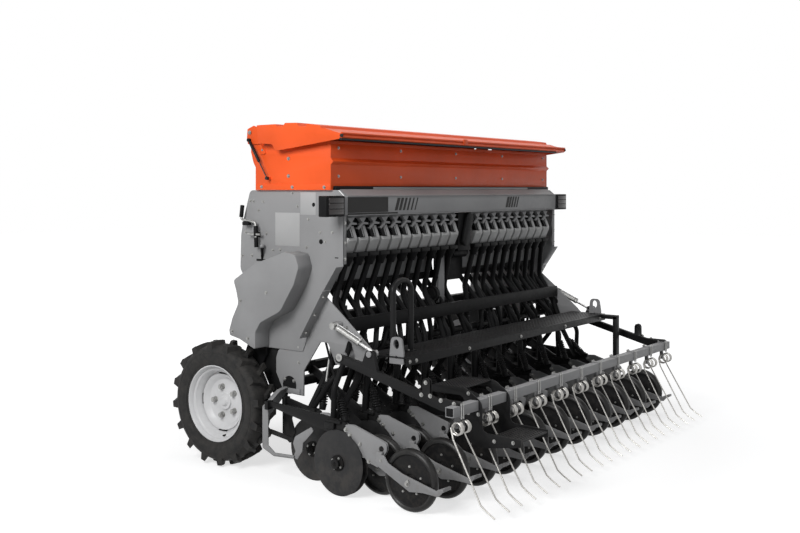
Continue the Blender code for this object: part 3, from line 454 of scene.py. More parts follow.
def weld(drawing, reach=0.00001):
    """Join points that lie on each other."""
    bmesh.ops.remove_doubles(drawing, verts=drawing.verts, dist=reach)


def around(centre, radius, count, first=0.0):
    """Points round a centre of a y-z plane."""
    angles = [math.tau * number / count + first for number in range(count)]
    return [(centre[0] + radius * math.cos(turn), centre[1] + radius * math.sin(turn)) for turn in angles]


def rounded(corners, steps=4):
    """Outline points from (y, z, radius) corners."""
    points = []
    for index, (y, z, radius) in enumerate(corners):
        here = Vector((y, z))
        if not radius:
            points.append((y, z))
            continue
        before = (Vector(corners[index - 1][:2]) - here).normalized()
        after = (Vector(corners[(index + 1) % len(corners)][:2]) - here).normalized()
        half = before.angle(after) / 2
        centre = here + (before + after).normalized() * radius / math.sin(half)
        start = here + before * radius / math.tan(half) - centre
        end = here + after * radius / math.tan(half) - centre
        first = math.atan2(start.y, start.x)
        turn = (math.atan2(end.y, end.x) - first + math.pi) % math.tau - math.pi
        for step in range(steps + 1):
            angle = first + turn * step / steps
            points.append((centre.x + radius * math.cos(angle), centre.y + radius * math.sin(angle)))
    return points


print("shape helpers ready")

# %% [markdown]
# A finished piece needs a material, smooth shading with sharp folds, and two words for the frame: the
# solids it replaces and the body it rides on.

# %% Finishing a piece


def settle(thing, body, nodes=()):
    """Say what a finished piece stands for and what it rides on."""
    if nodes:
        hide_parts(*nodes)
    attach(thing, body)
    print(f"{thing.name}: {len(thing.data.polygons)} faces on {body}")
    return thing


def object_of(name, drawing, material=None, lift=MIDDLE):
    """A drawing as an object in the frame, shifted by the one shift."""
    bmesh.ops.translate(drawing, vec=(0, -lift, 0), verts=drawing.verts)
    mesh = bpy.data.meshes.new(name)
    drawing.to_mesh(mesh)
    drawing.free()
    if material is not None:
        mesh.materials.append(material)
    return put(name, mesh)


def shade(thing, sharp=35):
    """Smooth shading that stays sharp at folds."""
    thing.data.shade_smooth()
    thing.data.set_sharp_from_angle(angle=math.radians(sharp))


def dress(name, drawing, material, body="drill_frame", nodes=(), sharp=35, slot=None):
    """A finished piece from a drawing."""
    thing = object_of(name, drawing, material)
    shade(thing, sharp)
    return settle(thing, body, nodes)


def sketch(*shapes):
    """One drawing of several shapes, each a helper and its values."""
    drawing = bmesh.new()
    for form, *values in shapes:
        form(drawing, *values)
    return drawing


def make(name, material, *shapes, **words):
    """A finished piece from several shapes."""
    return dress(name, sketch(*shapes), material, **words)


print("finishing helpers ready")

# %% [markdown]
# ## Repeats
# Discs, tines, lugs and bolts come in long rows. Geometry Nodes make each row from one pattern piece, so
# that one change alters them all. The first tree copies a piece along a step, or round a pivot.

# %% Copies tree


def start_tree(name, inputs):
    """A node tree with named inputs; returns the tree, its inputs' outputs and each one's identifier."""
    tree = bpy.data.node_groups.new(name, "GeometryNodeTree")
    tree.interface.new_socket("Geometry", in_out="INPUT", socket_type="NodeSocketGeometry")
    known = {}
    for label, kind, value in (*inputs, ("Material", "Material", None)):
        socket = tree.interface.new_socket(label, in_out="INPUT", socket_type="NodeSocket" + kind)
        if value is not None:
            socket.default_value = value
        known[label] = socket.identifier
    tree.interface.new_socket("Geometry", in_out="OUTPUT", socket_type="NodeSocketGeometry")
    return tree, tree.nodes.new("NodeGroupInput").outputs, known


def end_tree(tree, ins, geometry):
    """Realize the copies, paint them and hand them out."""
    real = add(tree, "GeometryNodeRealizeInstances", {0: geometry}).outputs[0]
    wires = {"Geometry": real, "Material": ins["Material"]}
    add(tree, "NodeGroupOutput", {0: add(tree, "GeometryNodeSetMaterial", wires).outputs[0]})
    print(tree.name, "tree of", len(tree.nodes), "nodes")


copies, ins, COPIES = start_tree("copies", [
    ("Count", "Int", 1), ("Step", "Vector", (0, 0, 0)), ("Turn", "Vector", (0, 0, 0)),
    ("Pivot", "Vector", (0, 0, 0))])
line = add(copies, "GeometryNodeMeshLine", {"Count": ins["Count"], "Offset": ins["Step"]}).outputs[0]
placed = add(copies, "GeometryNodeInstanceOnPoints", {
    "Points": line, "Instance": ins["Geometry"]}).outputs[0]
index = add(copies, "GeometryNodeInputIndex").outputs[0]
angle = add(copies, "ShaderNodeVectorMath", {0: ins["Turn"], "Scale": index}, operation="SCALE").outputs[0]
turned = add(copies, "GeometryNodeRotateInstances", {
    "Instances": placed, "Rotation": angle, "Pivot Point": ins["Pivot"], "Local Space": False})
end_tree(copies, ins, turned.outputs[0])

# %% [markdown]
# A tree runs as a modifier that is taken off again once its result is kept as a plain mesh.

# %% Running a tree


def grow(thing, tree, known, values):
    """Run a tree on an object and keep the result as its plain mesh."""
    run = thing.modifiers.new("grow", "NODES")
    run.node_group = tree
    for label, value in values.items():
        run[known[label]] = value
    graph = bpy.context.evaluated_depsgraph_get()
    mesh = bpy.data.meshes.new_from_object(thing.evaluated_get(graph))
    mesh.name = thing.name
    thing.modifiers.remove(run)
    thing.data = mesh


def row_of(name, drawing, material, count, step=(0, 0, 0), body="drill_frame", nodes=(), turn=(0, 0, 0),
           pivot=(0, 0, 0), sharp=35, slot=None):
    """Copies of one drawing along a step or round a pivot, as one finished piece."""
    thing = object_of(name, drawing)
    pivot = (pivot[0], pivot[1] - MIDDLE, pivot[2])
    grow(thing, copies, COPIES, {
        "Count": count, "Step": step, "Turn": turn, "Pivot": pivot, "Material": material})
    shade(thing, sharp)
    return settle(thing, body, nodes)


print("rows can be grown")

# %% [markdown]
# A bolt head sits on its washer and shows a bit of thread. The second tree sets one on every point of a
# cloud, turned the way the point's own attribute says, with the head's sizes as inputs.

# %% Bolt tree
WASHER_THICK = 0.0018
HEAD_BASE = 0.0015
bolt_tree, ins, BOLTS = start_tree("bolts", [
    ("Sides", "Int", 6), ("Head", "Float", 0.008), ("Height", "Float", 0.006), ("Washer", "Float", 0.011),
    ("Stud", "Float", 0.003)])


def bolt_cylinder(sides, radius, depth, base):
    """One round or six-sided piece of the bolt, standing on its base."""
    wires = {"Vertices": sides, "Radius": radius, "Depth": depth}
    solid = add(bolt_tree, "GeometryNodeMeshCylinder", wires).outputs["Mesh"]
    rise = add(bolt_tree, "ShaderNodeMath", {0: depth, 1: 0.5, 2: base}, operation="MULTIPLY_ADD")
    lift = add(bolt_tree, "ShaderNodeCombineXYZ", {"Z": rise.outputs[0]}).outputs[0]
    return add(bolt_tree, "GeometryNodeTransform", {"Geometry": solid, "Translation": lift}).outputs[0]


def attribute(tree, name, kind):
    """What each point says of itself."""
    return add(tree, "GeometryNodeInputNamedAttribute", {"Name": name}, data_type=kind).outputs["Attribute"]


half_head = times(bolt_tree, ins["Head"], 0.5)
stud_long = add(bolt_tree, "ShaderNodeMath", {0: ins["Height"], 1: ins["Stud"]}, operation="ADD").outputs[0]
joined = add(bolt_tree, "GeometryNodeJoinGeometry")
for shape in (bolt_cylinder(ins["Sides"], ins["Head"], ins["Height"], HEAD_BASE),
              bolt_cylinder(14, ins["Washer"], WASHER_THICK, 0.0),
              bolt_cylinder(10, half_head, stud_long, HEAD_BASE)):
    bolt_tree.links.new(shape, joined.inputs[0])
bolted = add(bolt_tree, "GeometryNodeInstanceOnPoints", {
    "Points": ins["Geometry"], "Instance": joined.outputs[0],
    "Scale": attribute(bolt_tree, "size", "FLOAT"),
    "Rotation": attribute(bolt_tree, "turn", "FLOAT_VECTOR")})
end_tree(bolt_tree, ins, bolted.outputs[0])


def point_cloud(name, places):
    """Loose points at (place, direction, size), with the turn that lifts z to the direction."""
    mesh = bpy.data.meshes.new(name)
    mesh.from_pydata([(x, y - MIDDLE, z) for (x, y, z), direction, size in places], [], [])
    mesh.attributes.new("turn", "FLOAT_VECTOR", "POINT")
    mesh.attributes.new("size", "FLOAT", "POINT")
    for number, (place, direction, size) in enumerate(places):
        mesh.attributes["turn"].data[number].vector = Vector(direction).to_track_quat("Z", "Y").to_euler()
        mesh.attributes["size"].data[number].value = size
    return put(name, mesh)


def bolts(name, places, body="drill_frame", head=0.008, height=0.006, washer=0.0115, stud=0.003):
    """Bolt heads on a list of (place, direction, size)."""
    thing = point_cloud(name, places)
    grow(thing, bolt_tree, BOLTS, {
        "Sides": 6, "Head": head, "Height": height, "Washer": washer, "Stud": stud, "Material": ZINC})
    shade(thing)
    return settle(thing, body)


# %% [markdown]
# Tubes, wires and rails follow a path. The third tree turns drawn paths into curves, rounds their corners
# and sweeps a circle along them.

# %% Sweep tree
sweep, ins, SWEEP = start_tree("sweep", [
    ("Radius", "Float", 0.01), ("Corner", "Float", 0.0), ("Sides", "Int", 12)])
as_curve = add(sweep, "GeometryNodeMeshToCurve", {"Mesh": ins["Geometry"]}).outputs["Curve"]
corner = add(sweep, "GeometryNodeFilletCurve", {"Curve": as_curve})
if "Mode" in corner.inputs:
    corner.inputs["Mode"].default_value = "Poly"
else:
    corner.mode = "POLY"
for label, value in (("Count", 5), ("Limit Radius", True), ("Radius", ins["Corner"])):
    fill(sweep, corner.inputs[label], value)
circle = add(sweep, "GeometryNodeCurvePrimitiveCircle", {
    "Resolution": ins["Sides"], "Radius": ins["Radius"]})
swept = add(sweep, "GeometryNodeCurveToMesh", {
    "Curve": corner.outputs["Curve"], "Profile Curve": circle.outputs["Curve"], "Fill Caps": True})
end_tree(sweep, ins, swept.outputs[0])


def tubes(name, paths, radius, material, body="drill_frame", nodes=(), corner=0.0, sides=12, copy=None):
    """Round tubes along drawn paths, as one piece."""
    points, edges = [], []
    for trail in paths:
        edges += [(len(points) + step, len(points) + step + 1) for step in range(len(trail) - 1)]
        points += [(x, y - MIDDLE, z) for x, y, z in trail]
    mesh = bpy.data.meshes.new(name)
    mesh.from_pydata(points, edges, [])
    thing = put(name, mesh)
    grow(thing, sweep, SWEEP, {"Radius": radius, "Corner": corner, "Sides": sides, "Material": material})
    if copy:
        grow(thing, copies, COPIES, {"Count": copy[0], "Step": copy[1], "Material": material})
    shade(thing, 40)
    return settle(thing, body, nodes)


# %% [markdown]
# ## Sheet metal
# Most of the drill's sheets and beams already have their shape in the frame. They only need their coat.

# %% Coats of the carried-over solids
COATS = (
    (PANEL, "side_plate chassis_plate chain_guard headstock rear_beam"),
    (BLACK, "cross_beam front_beam wheel_arm harrow_arm harrow_step strut_barrel walkway handrail"),
    (BLACK, "pressure_shaft"), (DARK, "metering_drive"), (ZINC, "crank_handle cylinder_barrel"),
    (BRIGHT, "strut_rod cylinder_rod"), (ORANGE, "hopper lid"), (HOOD, "metering_bank"),
    (LIGHT, "coulter_bank harrow_bar"), (RING, "press_wheel"), (TYRE, "tyre"), (WHEEL, "rim"),
)
for name, node in NODES.items():
    finish = next(coat_of for coat_of, stems in COATS if name.startswith(tuple(stems.split())))
    node.data.materials.clear()
    node.data.materials.append(finish)
print("coats on", len(NODES), "solids")

# %% [markdown]
# Where light catches an edge, a folded edge has a small radius. A copy of the solid is welded, its sharp
# edges are bevelled, and the copy stands for the solid.

# %% Rounded edges
SHARP = 0.45


def soften(node, material, body="drill_frame", width=0.001):
    """A copy of a solid with its sharp edges rounded, in the solid's place."""
    drawing = bmesh.new()
    drawing.from_mesh(NODES[node].data)
    weld(drawing, 0.00003)
    bmesh.ops.dissolve_limit(drawing, angle_limit=0.002, verts=drawing.verts, edges=drawing.edges)
    folds = [edge for edge in drawing.edges if len(edge.link_faces) == 2]
    bevel(drawing, [edge for edge in folds if edge.calc_face_angle(0.0) > SHARP], width, clamp_overlap=True)
    thing = object_of(node + "_sheet", drawing, material, 0)
    shade(thing, 30)
    return settle(thing, body, (node,))


soften("hopper", ORANGE, width=0.002)
for side in ("left", "right"):
    soften(f"harrow_arm_{side}", BLACK, "harrow", 0.0015)
    soften(f"wheel_arm_{side}", BLACK, width=0.002)
soften("cross_beam", BLACK, width=0.005)
soften("front_beam", BLACK, width=0.006)

# %% [markdown]
# The side plate is one sheet with a folded rear edge. An outline and a thickness say it all, and the same
# outline serves both sides.

# %% Side plates
PLATE = rounded([
    (0.000, 1.202, 0), (0.060, 1.116, 0.03), (0.098, 1.054, 0), (0.263, 0.786, 0), (0.300, 0.700, 0),
    (0.660, 0.700, 0.02), (0.740, 0.800, 0.02), (0.740, 1.060, 0.02), (0.799, 1.152, 0.05),
    (0.793, 1.355, 0.05), (0.773, 1.447, 0.05), (0.716, 1.622, 0.03), (0.040, 1.622, 0.01),
    (0.000, 1.590, 0.01)])
for name, side in SIDES:
    make(f"side_sheet_{name}", PANEL,
         (sheet, side * (SIDE_X - 0.006), side * SIDE_X, PLATE, 0.001),
         (box, (side * (SIDE_X - 0.030), 0, 1.210), (side * (SIDE_X - 0.001), 0.006, 1.584), 0.001),
         nodes=(f"side_plate_{name}",))

# %% [markdown]
# Under it the chassis plate reaches back to the harrow's pivot. Round bosses stand on it, and a folded
# bracket carries the outermost row.

# %% Chassis plates
CHASSIS = rounded([
    (0.299, 0.444, 0), (0.450, 0.450, 0.01), (0.511, 0.560, 0.02), (0.511, 0.646, 0.02),
    (0.494, 0.690, 0.03), (0.460, 0.714, 0.02), (0.304, 0.785, 0), (0.152, 1.040, 0.02),
    (-0.010, 0.910, 0.02),
    (-0.190, 0.760, 0.02), (-0.235, 0.715, 0.02), (-0.210, 0.675, 0.02), (0.000, 0.640, 0),
    (0.061, 0.655, 0.01), (0.116, 0.766, 0.02), (0.172, 0.764, 0.02), (0.296, 0.590, 0.02)])
CHASSIS_X = 1.2337
BAR_X = 1.420
HARROW_PIVOT, CYLINDER_HEAD = (-0.054, 0.713), (0.023, 0.874)
WEB = [(CHASSIS_X + 0.001, 0.444), (1.300, 0.385), (BAR_X - 0.002, 0.310), (BAR_X - 0.002, 0.398),
       (1.330, 0.462), (1.270, 0.482), (CHASSIS_X + 0.001, 0.484)]
for name, side in SIDES:
    drawing = sketch(
        (sheet, side * (CHASSIS_X - 0.010), side * CHASSIS_X, CHASSIS, 0.0012),
        (box, (side * (CHASSIS_X - 0.001), 0.322, 0.450), (side * (CHASSIS_X + 0.006), 0.442, 0.480),
         0.001),
        (crosswise, 0.436, 0.442, [(side * x, z) for x, z in WEB], 0.001))
    for centre, reach, radius in ((HARROW_PIVOT, 1.311, 0.024), (CYLINDER_HEAD, 1.272, 0.020),
                                  (HARROW_PIVOT, 1.345, 0.0100), (CYLINDER_HEAD, 1.308, 0.0100)):
        pin(drawing, side * (CHASSIS_X - 0.002), side * reach, centre, radius, 24)
    for x, z, x_end, z_end in ((CHASSIS_X, 0.483, 1.300, 0.474), (1.300, 0.474, BAR_X, 0.398)):
        half = Vector((math.dist((x, z), (x_end, z_end)) / 2, 0.015, 0.002))
        lean = Matrix.Rotation(side * math.atan2(z - z_end, x_end - x), 4, "Y")
        place = Matrix.Translation((side * (x + x_end) / 2, 0.427, (z + z_end) / 2))
        box(drawing, -half, half, 0.0008, place @ lean)
    for x, back, low in ((BAR_X, 0.044, 0.176), (BAR_X - 0.030, 0.020, 0.300)):
        box(drawing, (side * (x - 0.003), 0.440 - back, low), (side * (x + 0.003), 0.440, 0.398), 0.001)
    dress(f"chassis_sheet_{name}", drawing, PANEL, nodes=(f"chassis_plate_{name}",))

# %% [markdown]
# The bracket ends in a pointed toe with a bent holder, and black plates shield the outermost coulter. A
# thin black disc on each chassis plate is painted shade where the plate has a round hole.

# %% Row guards
TOE = [(0.396, 0.186), (0.440, 0.180), (0.436, 0.166), (0.352, 0.132), (0.210, 0.140), (0.205, 0.156),
       (0.345, 0.152)]
HOLDER = rounded([
    (0.183, 0.138, 0), (0.214, 0.146, 0.004), (0.196, 0.181, 0.004), (0.214, 0.222, 0.01),
    (0.200, 0.262, 0.02), (0.082, 0.330, 0.006), (0.066, 0.309, 0.006), (0.112, 0.262, 0.01),
    (0.142, 0.235, 0.01), (0.146, 0.189, 0.01), (0.168, 0.160, 0.004)])
CHEEK = rounded([(0.470, 0.700, 0), (0.660, 0.700, 0.02), (0.640, 0.560, 0.03), (0.560, 0.430, 0.03),
                 (0.455, 0.400, 0.02), (0.440, 0.440, 0)])
SHIELD = rounded([(0.400, 0.400, 0), (0.400, 0.220, 0.01), (0.340, 0.180, 0.01), (0.300, 0.250, 0.02),
                  (0.330, 0.330, 0.02), (0.250, 0.400, 0.01)])
for name, side in SIDES:
    make(f"row_guard_{name}", LIGHT,
         (sheet, side * (BAR_X - 0.004), side * (BAR_X + 0.004), TOE, 0.001),
         (rod, (side * BAR_X, 0.345, 0.144), (side * BAR_X, 0.200, 0.150), 0.009, 14, 0.002),
         (sheet, side * (BAR_X - 0.012), side * (BAR_X - 0.005), HOLDER, 0.001), slot="panel_grey")
    x = side * (BAR_X - 0.019)
    # The thin black disc on the chassis plate is painted shade for the plate's round hole.
    make(f"plate_blacks_{name}", BLACK,
         (bar, (x, 0.400, 0.262), (x, 0.185, 0.232), 0.010, 0.026, 0.002),
         (pin, side * CHASSIS_X, side * (CHASSIS_X + 0.0008), (0.405, 0.497), 0.052, 28),
         (sheet, side * 1.205, side * 1.213, CHEEK, 0.001),
         (sheet, side * 1.296, side * 1.300, SHIELD, 0.001))

# %% [markdown]
# Each end of the rear beam carries a black lamp box with a smoked lens in a raised frame.

# %% Lamp boxes
for name, side in SIDES:
    near, far = sorted((side * (SIDE_X + 0.0012), side * 1.4016))
    make(f"lamp_box_{name}", DARK, (box, (near, -0.0155, 1.4765), (far, 0.0415, 1.5915), 0.005),
         (box, (near + 0.012, -0.020, 1.484), (far - 0.012, -0.014, 1.584), 0.003))
    make(f"lamp_lens_{name}", LENS,
         *((box, (near + 0.018, -0.0225, low), (far - 0.018, -0.019, high), 0.002)
           for low, high in ((1.489, 1.518), (1.521, 1.550), (1.553, 1.579))))

# %% [markdown]
# The rear beam is a folded grey channel. Its near third has a black foil that ends in slanted stripes, and
# a second group of stripes sits near the far end. Foils are thin sheets laid on the beam.

# %% Beam foils
FACE_Y = -0.0106
FOIL = 0.0006
STRIPE_LEAN = 0.030
drawing = sketch((box, (-1.212, FACE_Y - FOIL, 1.496), (-0.840, FACE_Y, 1.583)),
                 (box, (-1.212, FACE_Y - 0.0004, 1.4845), (-0.745, FACE_Y, 1.4935)))
for start, count, step in ((-0.775, 6, 0.040), (0.505, 5, 0.036)):
    for number in range(count):
        near = start + number * step
        far = near + 0.028 - 0.0035 * number
        stripe = [(near, 1.503), (far, 1.503), (far + STRIPE_LEAN, 1.577), (near + STRIPE_LEAN, 1.577)]
        crosswise(drawing, FACE_Y - FOIL, FACE_Y, stripe)
dress("beam_foil", drawing, SEAL, slot="black_paint")

# %% [markdown]
# Above and below the beam run folded rails: a sloping one that closes the gap to the hopper, and a narrow
# one that the sowing units hang from. A black strip with a grey lip lies under the hopper.

# %% Rails at the beam
RAIL_HALF = 1.2095
make("beam_rails", PANEL, (box, (-RAIL_HALF, -0.0175, 1.4795), (RAIL_HALF, -0.0108, 1.4835), 0.0008),
     (box, (-RAIL_HALF, -0.0150, 1.5865), (RAIL_HALF, 0.0040, 1.5905), 0.0008),
     (bar, (0, -0.006, 1.5905), (0, 0.046, 1.6265), 2.418, 0.0025))
make("hopper_strip", DARK, (box, (-1.238, 0.052, 1.624), (1.238, 0.0748, 1.646), 0.002))
make("hopper_strip_lip", PANEL, (box, (-0.90, 0.0500, 1.6265), (0.92, 0.0523, 1.6400), 0.0006))

# %% [markdown]
# ## Sowing units
# Twenty-one metering units hang side by side. Each has a pale hood with a sloping face, a dark slot over
# it and a grey forked bracket. One unit is drawn, and the tree repeats it.

# %% Metering units
UNIT_PITCH = 0.104
UNITS = (("left", -1.165, 11), ("right", 0.165, 10))
UNIT_HOOD = rounded([(0.018, 1.420, 0), (-0.010, 1.352, 0.010), (-0.008, 1.336, 0.010),
                     (0.022, 1.269, 0.006), (0.092, 1.269, 0), (0.092, 1.420, 0)])
UNIT_SLOT = [(0.0125, 1.426), (-0.0125, 1.356), (0.020, 1.356), (0.040, 1.426)]
FORK = [(-0.036, 1.467), (0.028, 1.467), (0.007, 1.443), (0.050, 1.437), (0.046, 1.427), (0.004, 1.428),
        (-0.038, 1.398), (-0.046, 1.408), (-0.006, 1.440)]
for name, x, count in UNITS:
    unit_row = (count, (UNIT_PITCH, 0, 0))
    row_of(f"meter_hoods_{name}", sketch(
        (sheet, x - 0.041, x + 0.041, UNIT_HOOD, 0.004),
        (box, (x - 0.030, -0.0115, 1.338), (x + 0.030, -0.006, 1.346), 0.001)),
        HOOD, *unit_row, nodes=(f"metering_bank_{name}",))
    row_of(f"meter_slots_{name}", sketch(
        (sheet, x - 0.041, x + 0.004, UNIT_SLOT, 0.001),
        (box, (x - 0.046, 0.040, 1.418), (x + 0.046, 0.092, 1.470), 0.001)), DARK, *unit_row)
    row_of(f"meter_brackets_{name}", sketch(
        (bar, (x - 0.010, -0.0140, 1.360), (x - 0.010, 0.010, 1.424), 0.006, 0.004, 0.001),
        (crosswise, 0.000, 0.026, [(x + across, z) for across, z in FORK], 0.001)), PANEL, *unit_row)
drawing = bmesh.new()
for name, start, count in UNITS:
    near, far = start - 0.045, start + UNIT_PITCH * (count - 1) + 0.045
    box(drawing, (near, 0.022, 1.4665), (far, 0.130, 1.4795), 0.001)
    box(drawing, (near, 0.094, 1.300), (far, 0.100, 1.467), 0.001)
dress("meter_rail", drawing, PANEL)

# %% [markdown]
# The drive of the metering shaft runs under a slanted dark cover in the middle, beside a grey post.

# %% Metering drive cover
outline = []
for radius, height, first in ((0.036, 0.080, 0.0), (0.029, -0.080, math.pi)):
    for step in range(9):
        angle = first + math.pi * step / 8
        outline.append((radius * math.cos(angle), height + radius * math.sin(angle)))
drawing = bmesh.new()
slant = Matrix.Translation((0.018, -0.008, 1.365)) @ Matrix.Rotation(0.35, 4, "Y")
pour(drawing, sketch((crosswise, -0.012, 0.012, outline, 0.005)), slant)
dress("drive_cover", drawing, DARK)

# %% [markdown]
# ## Coulters
# Two thin discs stand toed in on a common hub. The pattern of one row is drawn by finish, and each bank of
# rows is that pattern repeated at twice the row pitch.

# %% Discs
DISC_THICK = 0.004
HALF_DISC = DISC_THICK / 2
DISC_SIDE = [(0, HALF_DISC), (DISC_R * 0.30, HALF_DISC), (DISC_R * 0.95, HALF_DISC), (DISC_R, 0.0004)]
DISC_PROFILE = DISC_SIDE + [(radius, -height) for radius, height in reversed(DISC_SIDE)]
DISC_HUB = [(0, 0.034), (0.010, 0.034), (0.012, 0.030), (0.017, 0.030), (0.020, 0.027), (0.021, 0.014),
            (0.040, 0.011), (0.043, 0.008), (0.043, 0.0), (0, 0)]
TOE_IN = math.radians(3)
for name, y, rail, first in BANKS:
    x, bank_row = row_x(first), (len(rows_of(first)), ROW_STEP)
    drawing = sketch(*((lathe, DISC_PROFILE, (x + hand * 0.013, y, DISC_R), 48, 1,
                        Matrix.Rotation(hand * TOE_IN, 4, "Z")) for hand in (-1, 1)))
    row_of(f"discs_{name}", drawing, DISC, *bank_row, nodes=(f"coulter_bank_{name}",), sharp=25)
    drawing = sketch(*((lathe, DISC_HUB, (x + hand * 0.0145, y, DISC_R), 24, hand) for hand in (-1, 1)))
    row_of(f"disc_hubs_{name}", drawing, DARK, *bank_row)

# %% [markdown]
# A light grey arm of two blades holds the discs. A second arm leads back past the press wheel, and ends in
# a scraper. Their outlines are drawn from the disc's axle, so one outline fits both banks.

# %% Coulter arms


def behind(y, corners):
    """A rounded outline moved to a bank's axle."""
    return rounded([(y + back, z, radius) for back, z, radius in corners])


BLADE = [(-0.029, 0.360, 0.006), (-0.050, 0.384, 0.01), (-0.100, 0.387, 0.02), (-0.318, 0.322, 0.02),
         (-0.320, 0.285, 0.02), (-0.262, 0.190, 0.01), (-0.195, 0.210, 0.01), (-0.124, 0.275, 0.02),
         (-0.077, 0.315, 0.02)]
TAIL = [(-0.285, 0.262, 0.01), (-0.318, 0.268, 0.012), (-0.344, 0.232, 0.02), (-0.437, 0.192, 0.02),
        (-0.640, 0.142, 0), (-0.697, 0.168, 0), (-0.690, 0.150, 0), (-0.655, 0.112, 0.01),
        (-0.560, 0.117, 0.02), (-0.480, 0.108, 0.02), (-0.290, 0.200, 0.02), (-0.262, 0.232, 0.01)]
for name, y, rail, first in BANKS:
    x = row_x(first)
    tail_x = x - 0.0256
    row_of(f"coulter_arms_{name}", sketch(
        *((sheet, x + hand * 0.0035, x + hand * 0.0085, behind(y, BLADE), 0.001) for hand in (-1, 1)),
        (box, (x - 0.005, y - 0.300, 0.225), (x + 0.005, y - 0.130, 0.290), 0.002),
        (sheet, tail_x - 0.007, tail_x, behind(y, TAIL), 0.0018),
        (box, (tail_x - 0.004, y - 0.302, 0.238), (x, y - 0.268, 0.278), 0.002),
        (box, (tail_x - 0.020, y - 0.694, 0.1445), (tail_x + 0.050, y - 0.682, 0.1600), 0.001)),
        LIGHT, len(rows_of(first)), ROW_STEP)

# %% [markdown]
# Between the discs stands a black boot that the seed falls through, under a small saddle.

# %% Coulter boots
BOOT = [(0.050, 0.060, 0.01), (0.060, 0.330, 0.02), (0.030, 0.345, 0.01), (-0.050, 0.200, 0.02),
        (-0.060, 0.045, 0.01), (-0.020, 0.040, 0.01)]
for name, y, rail, first in BANKS:
    x = row_x(first)
    row_of(f"coulter_boots_{name}", sketch(
        (box, (x - 0.024, y - 0.020, 0.384), (x + 0.024, y + 0.072, 0.398), 0.002),
        (box, (x - 0.028, y + 0.020, 0.352), (x - 0.008, y + 0.085, 0.386), 0.003),
        (box, (x + 0.008, y + 0.020, 0.352), (x + 0.028, y + 0.085, 0.386), 0.003),
        (sheet, x - 0.0075, x + 0.0075, behind(y, BOOT), 0.002),
        (pin, x - 0.0105, x + 0.0105, (y - 0.286, 0.290), 0.015, 16, 0.001)),
        BLACK, len(rows_of(first)), ROW_STEP)

# %% [markdown]
# The front half of each arm is a black forging from the rail to the hub. The outermost rows of each bank
# stand outside the chassis plates, where a side bracket carries them instead of the rail, and the very
# first and last have a hub that shows.

# %% Forged arms
CLAMP_HALF = 0.027
RAIL_SQUARE = 0.025


def forging(target, x, y, anchor, half):
    """The black half of one arm, from its anchor to the hub."""
    outline = rounded([
        (anchor[0] - half, anchor[1] - half, 0.008), (anchor[0] - half, anchor[1] + half * 0.4, 0.008),
        (y + 0.085, 0.412, 0.05), (y - 0.048, 0.392, 0.01), (y - 0.052, 0.345, 0.01),
        (y - 0.024, 0.162, 0.01), (y + 0.024, 0.162, 0.01), (y + 0.060, 0.325, 0.02)])
    sheet(target, x - 0.0085, x + 0.0085, outline, 0.002)


for name, y, rail, first in BANKS:
    outermost, *inner, last = rows_of(first)
    x = row_x(inner[0])
    drawing = sketch((forging, x, y, rail, 0.034))
    for low, high in ((-CLAMP_HALF - 0.006, -CLAMP_HALF), (CLAMP_HALF, CLAMP_HALF + 0.004)):
        box(drawing, (x - 0.030, rail[0] + low, rail[1] - CLAMP_HALF - 0.006),
            (x + 0.030, rail[0] + high, rail[1] + CLAMP_HALF + 0.006), 0.002)
    row_of(f"arm_forgings_{name}", drawing, BLACK, len(inner), ROW_STEP)
    drawing = bmesh.new()
    for row in (outermost, last):
        x = row_x(row)
        forging(drawing, x, y, (0.404, 0.432), 0.018)
        box(drawing, (x - 0.022, 0.372, 0.392), (x + 0.022, 0.398, 0.440), 0.003)
        if row in (0, ROWS - 1):
            out = 1 if row else -1
            pin(drawing, x + out * 0.020, x + out * 0.044, (y, DISC_R), 0.023, 24, 0.002)
            pin(drawing, x + out * 0.038, x + out * 0.046, (y, DISC_R), 0.027, 24, 0.002)
    dress(f"outer_forgings_{name}", drawing, BLACK)
make("coulter_rails", BLACK, *((box, (-PLATES_IN, rail_y - RAIL_SQUARE, rail_z - RAIL_SQUARE),
                                (PLATES_IN, rail_y + RAIL_SQUARE, rail_z + RAIL_SQUARE), 0.005)
                               for rail_y, rail_z in (REAR_RAIL, FRONT_RAIL)))

# %% [markdown]
# Seed runs down a black hose from each metering unit to its coulter. The units stand closer together than
# the rows, so the hoses fan out, each on its own path through a knee.

# %% Seed hoses
HOSE_REACH = 1.198
STARTS = [start + UNIT_PITCH * number for name, start, count in UNITS for number in range(count)]
KNEES = {"rear": ((0.24, 0.100, 0.990), (0.55, -0.010, 0.800), (0.90, -0.085, 0.600)),
         "front": ((0.24, 0.104, 0.990), (0.45, 0.080, 0.860), (0.80, 0.118, 0.640))}


def within(x, reach):
    """A place across the drill, held between its plates."""
    return max(-reach, min(reach, x))


def outward_of(row):
    """The way from the middle to a row."""
    return 1 if row_x(row) > 0.001 else -1


paths = []
for name, y, rail, first in BANKS:
    for row in rows_of(first):
        start, foot = STARTS[row], (row_x(row) + outward_of(row) * 0.010, y + 0.052, 0.350)
        knees = [(within(start + share * (foot[0] - start), HOSE_REACH), knee_y, knee_z)
                 for share, knee_y, knee_z in KNEES[name]]
        paths.append([(start, 0.034, 1.240), *knees, foot])
tubes("seed_hoses", paths, 0.0180, DARK, corner=0.09)

# %% [markdown]
# A second set of thinner hoses starts further forward, one beside each metering unit. Each crosses the
# first set and ends at the same coulter.

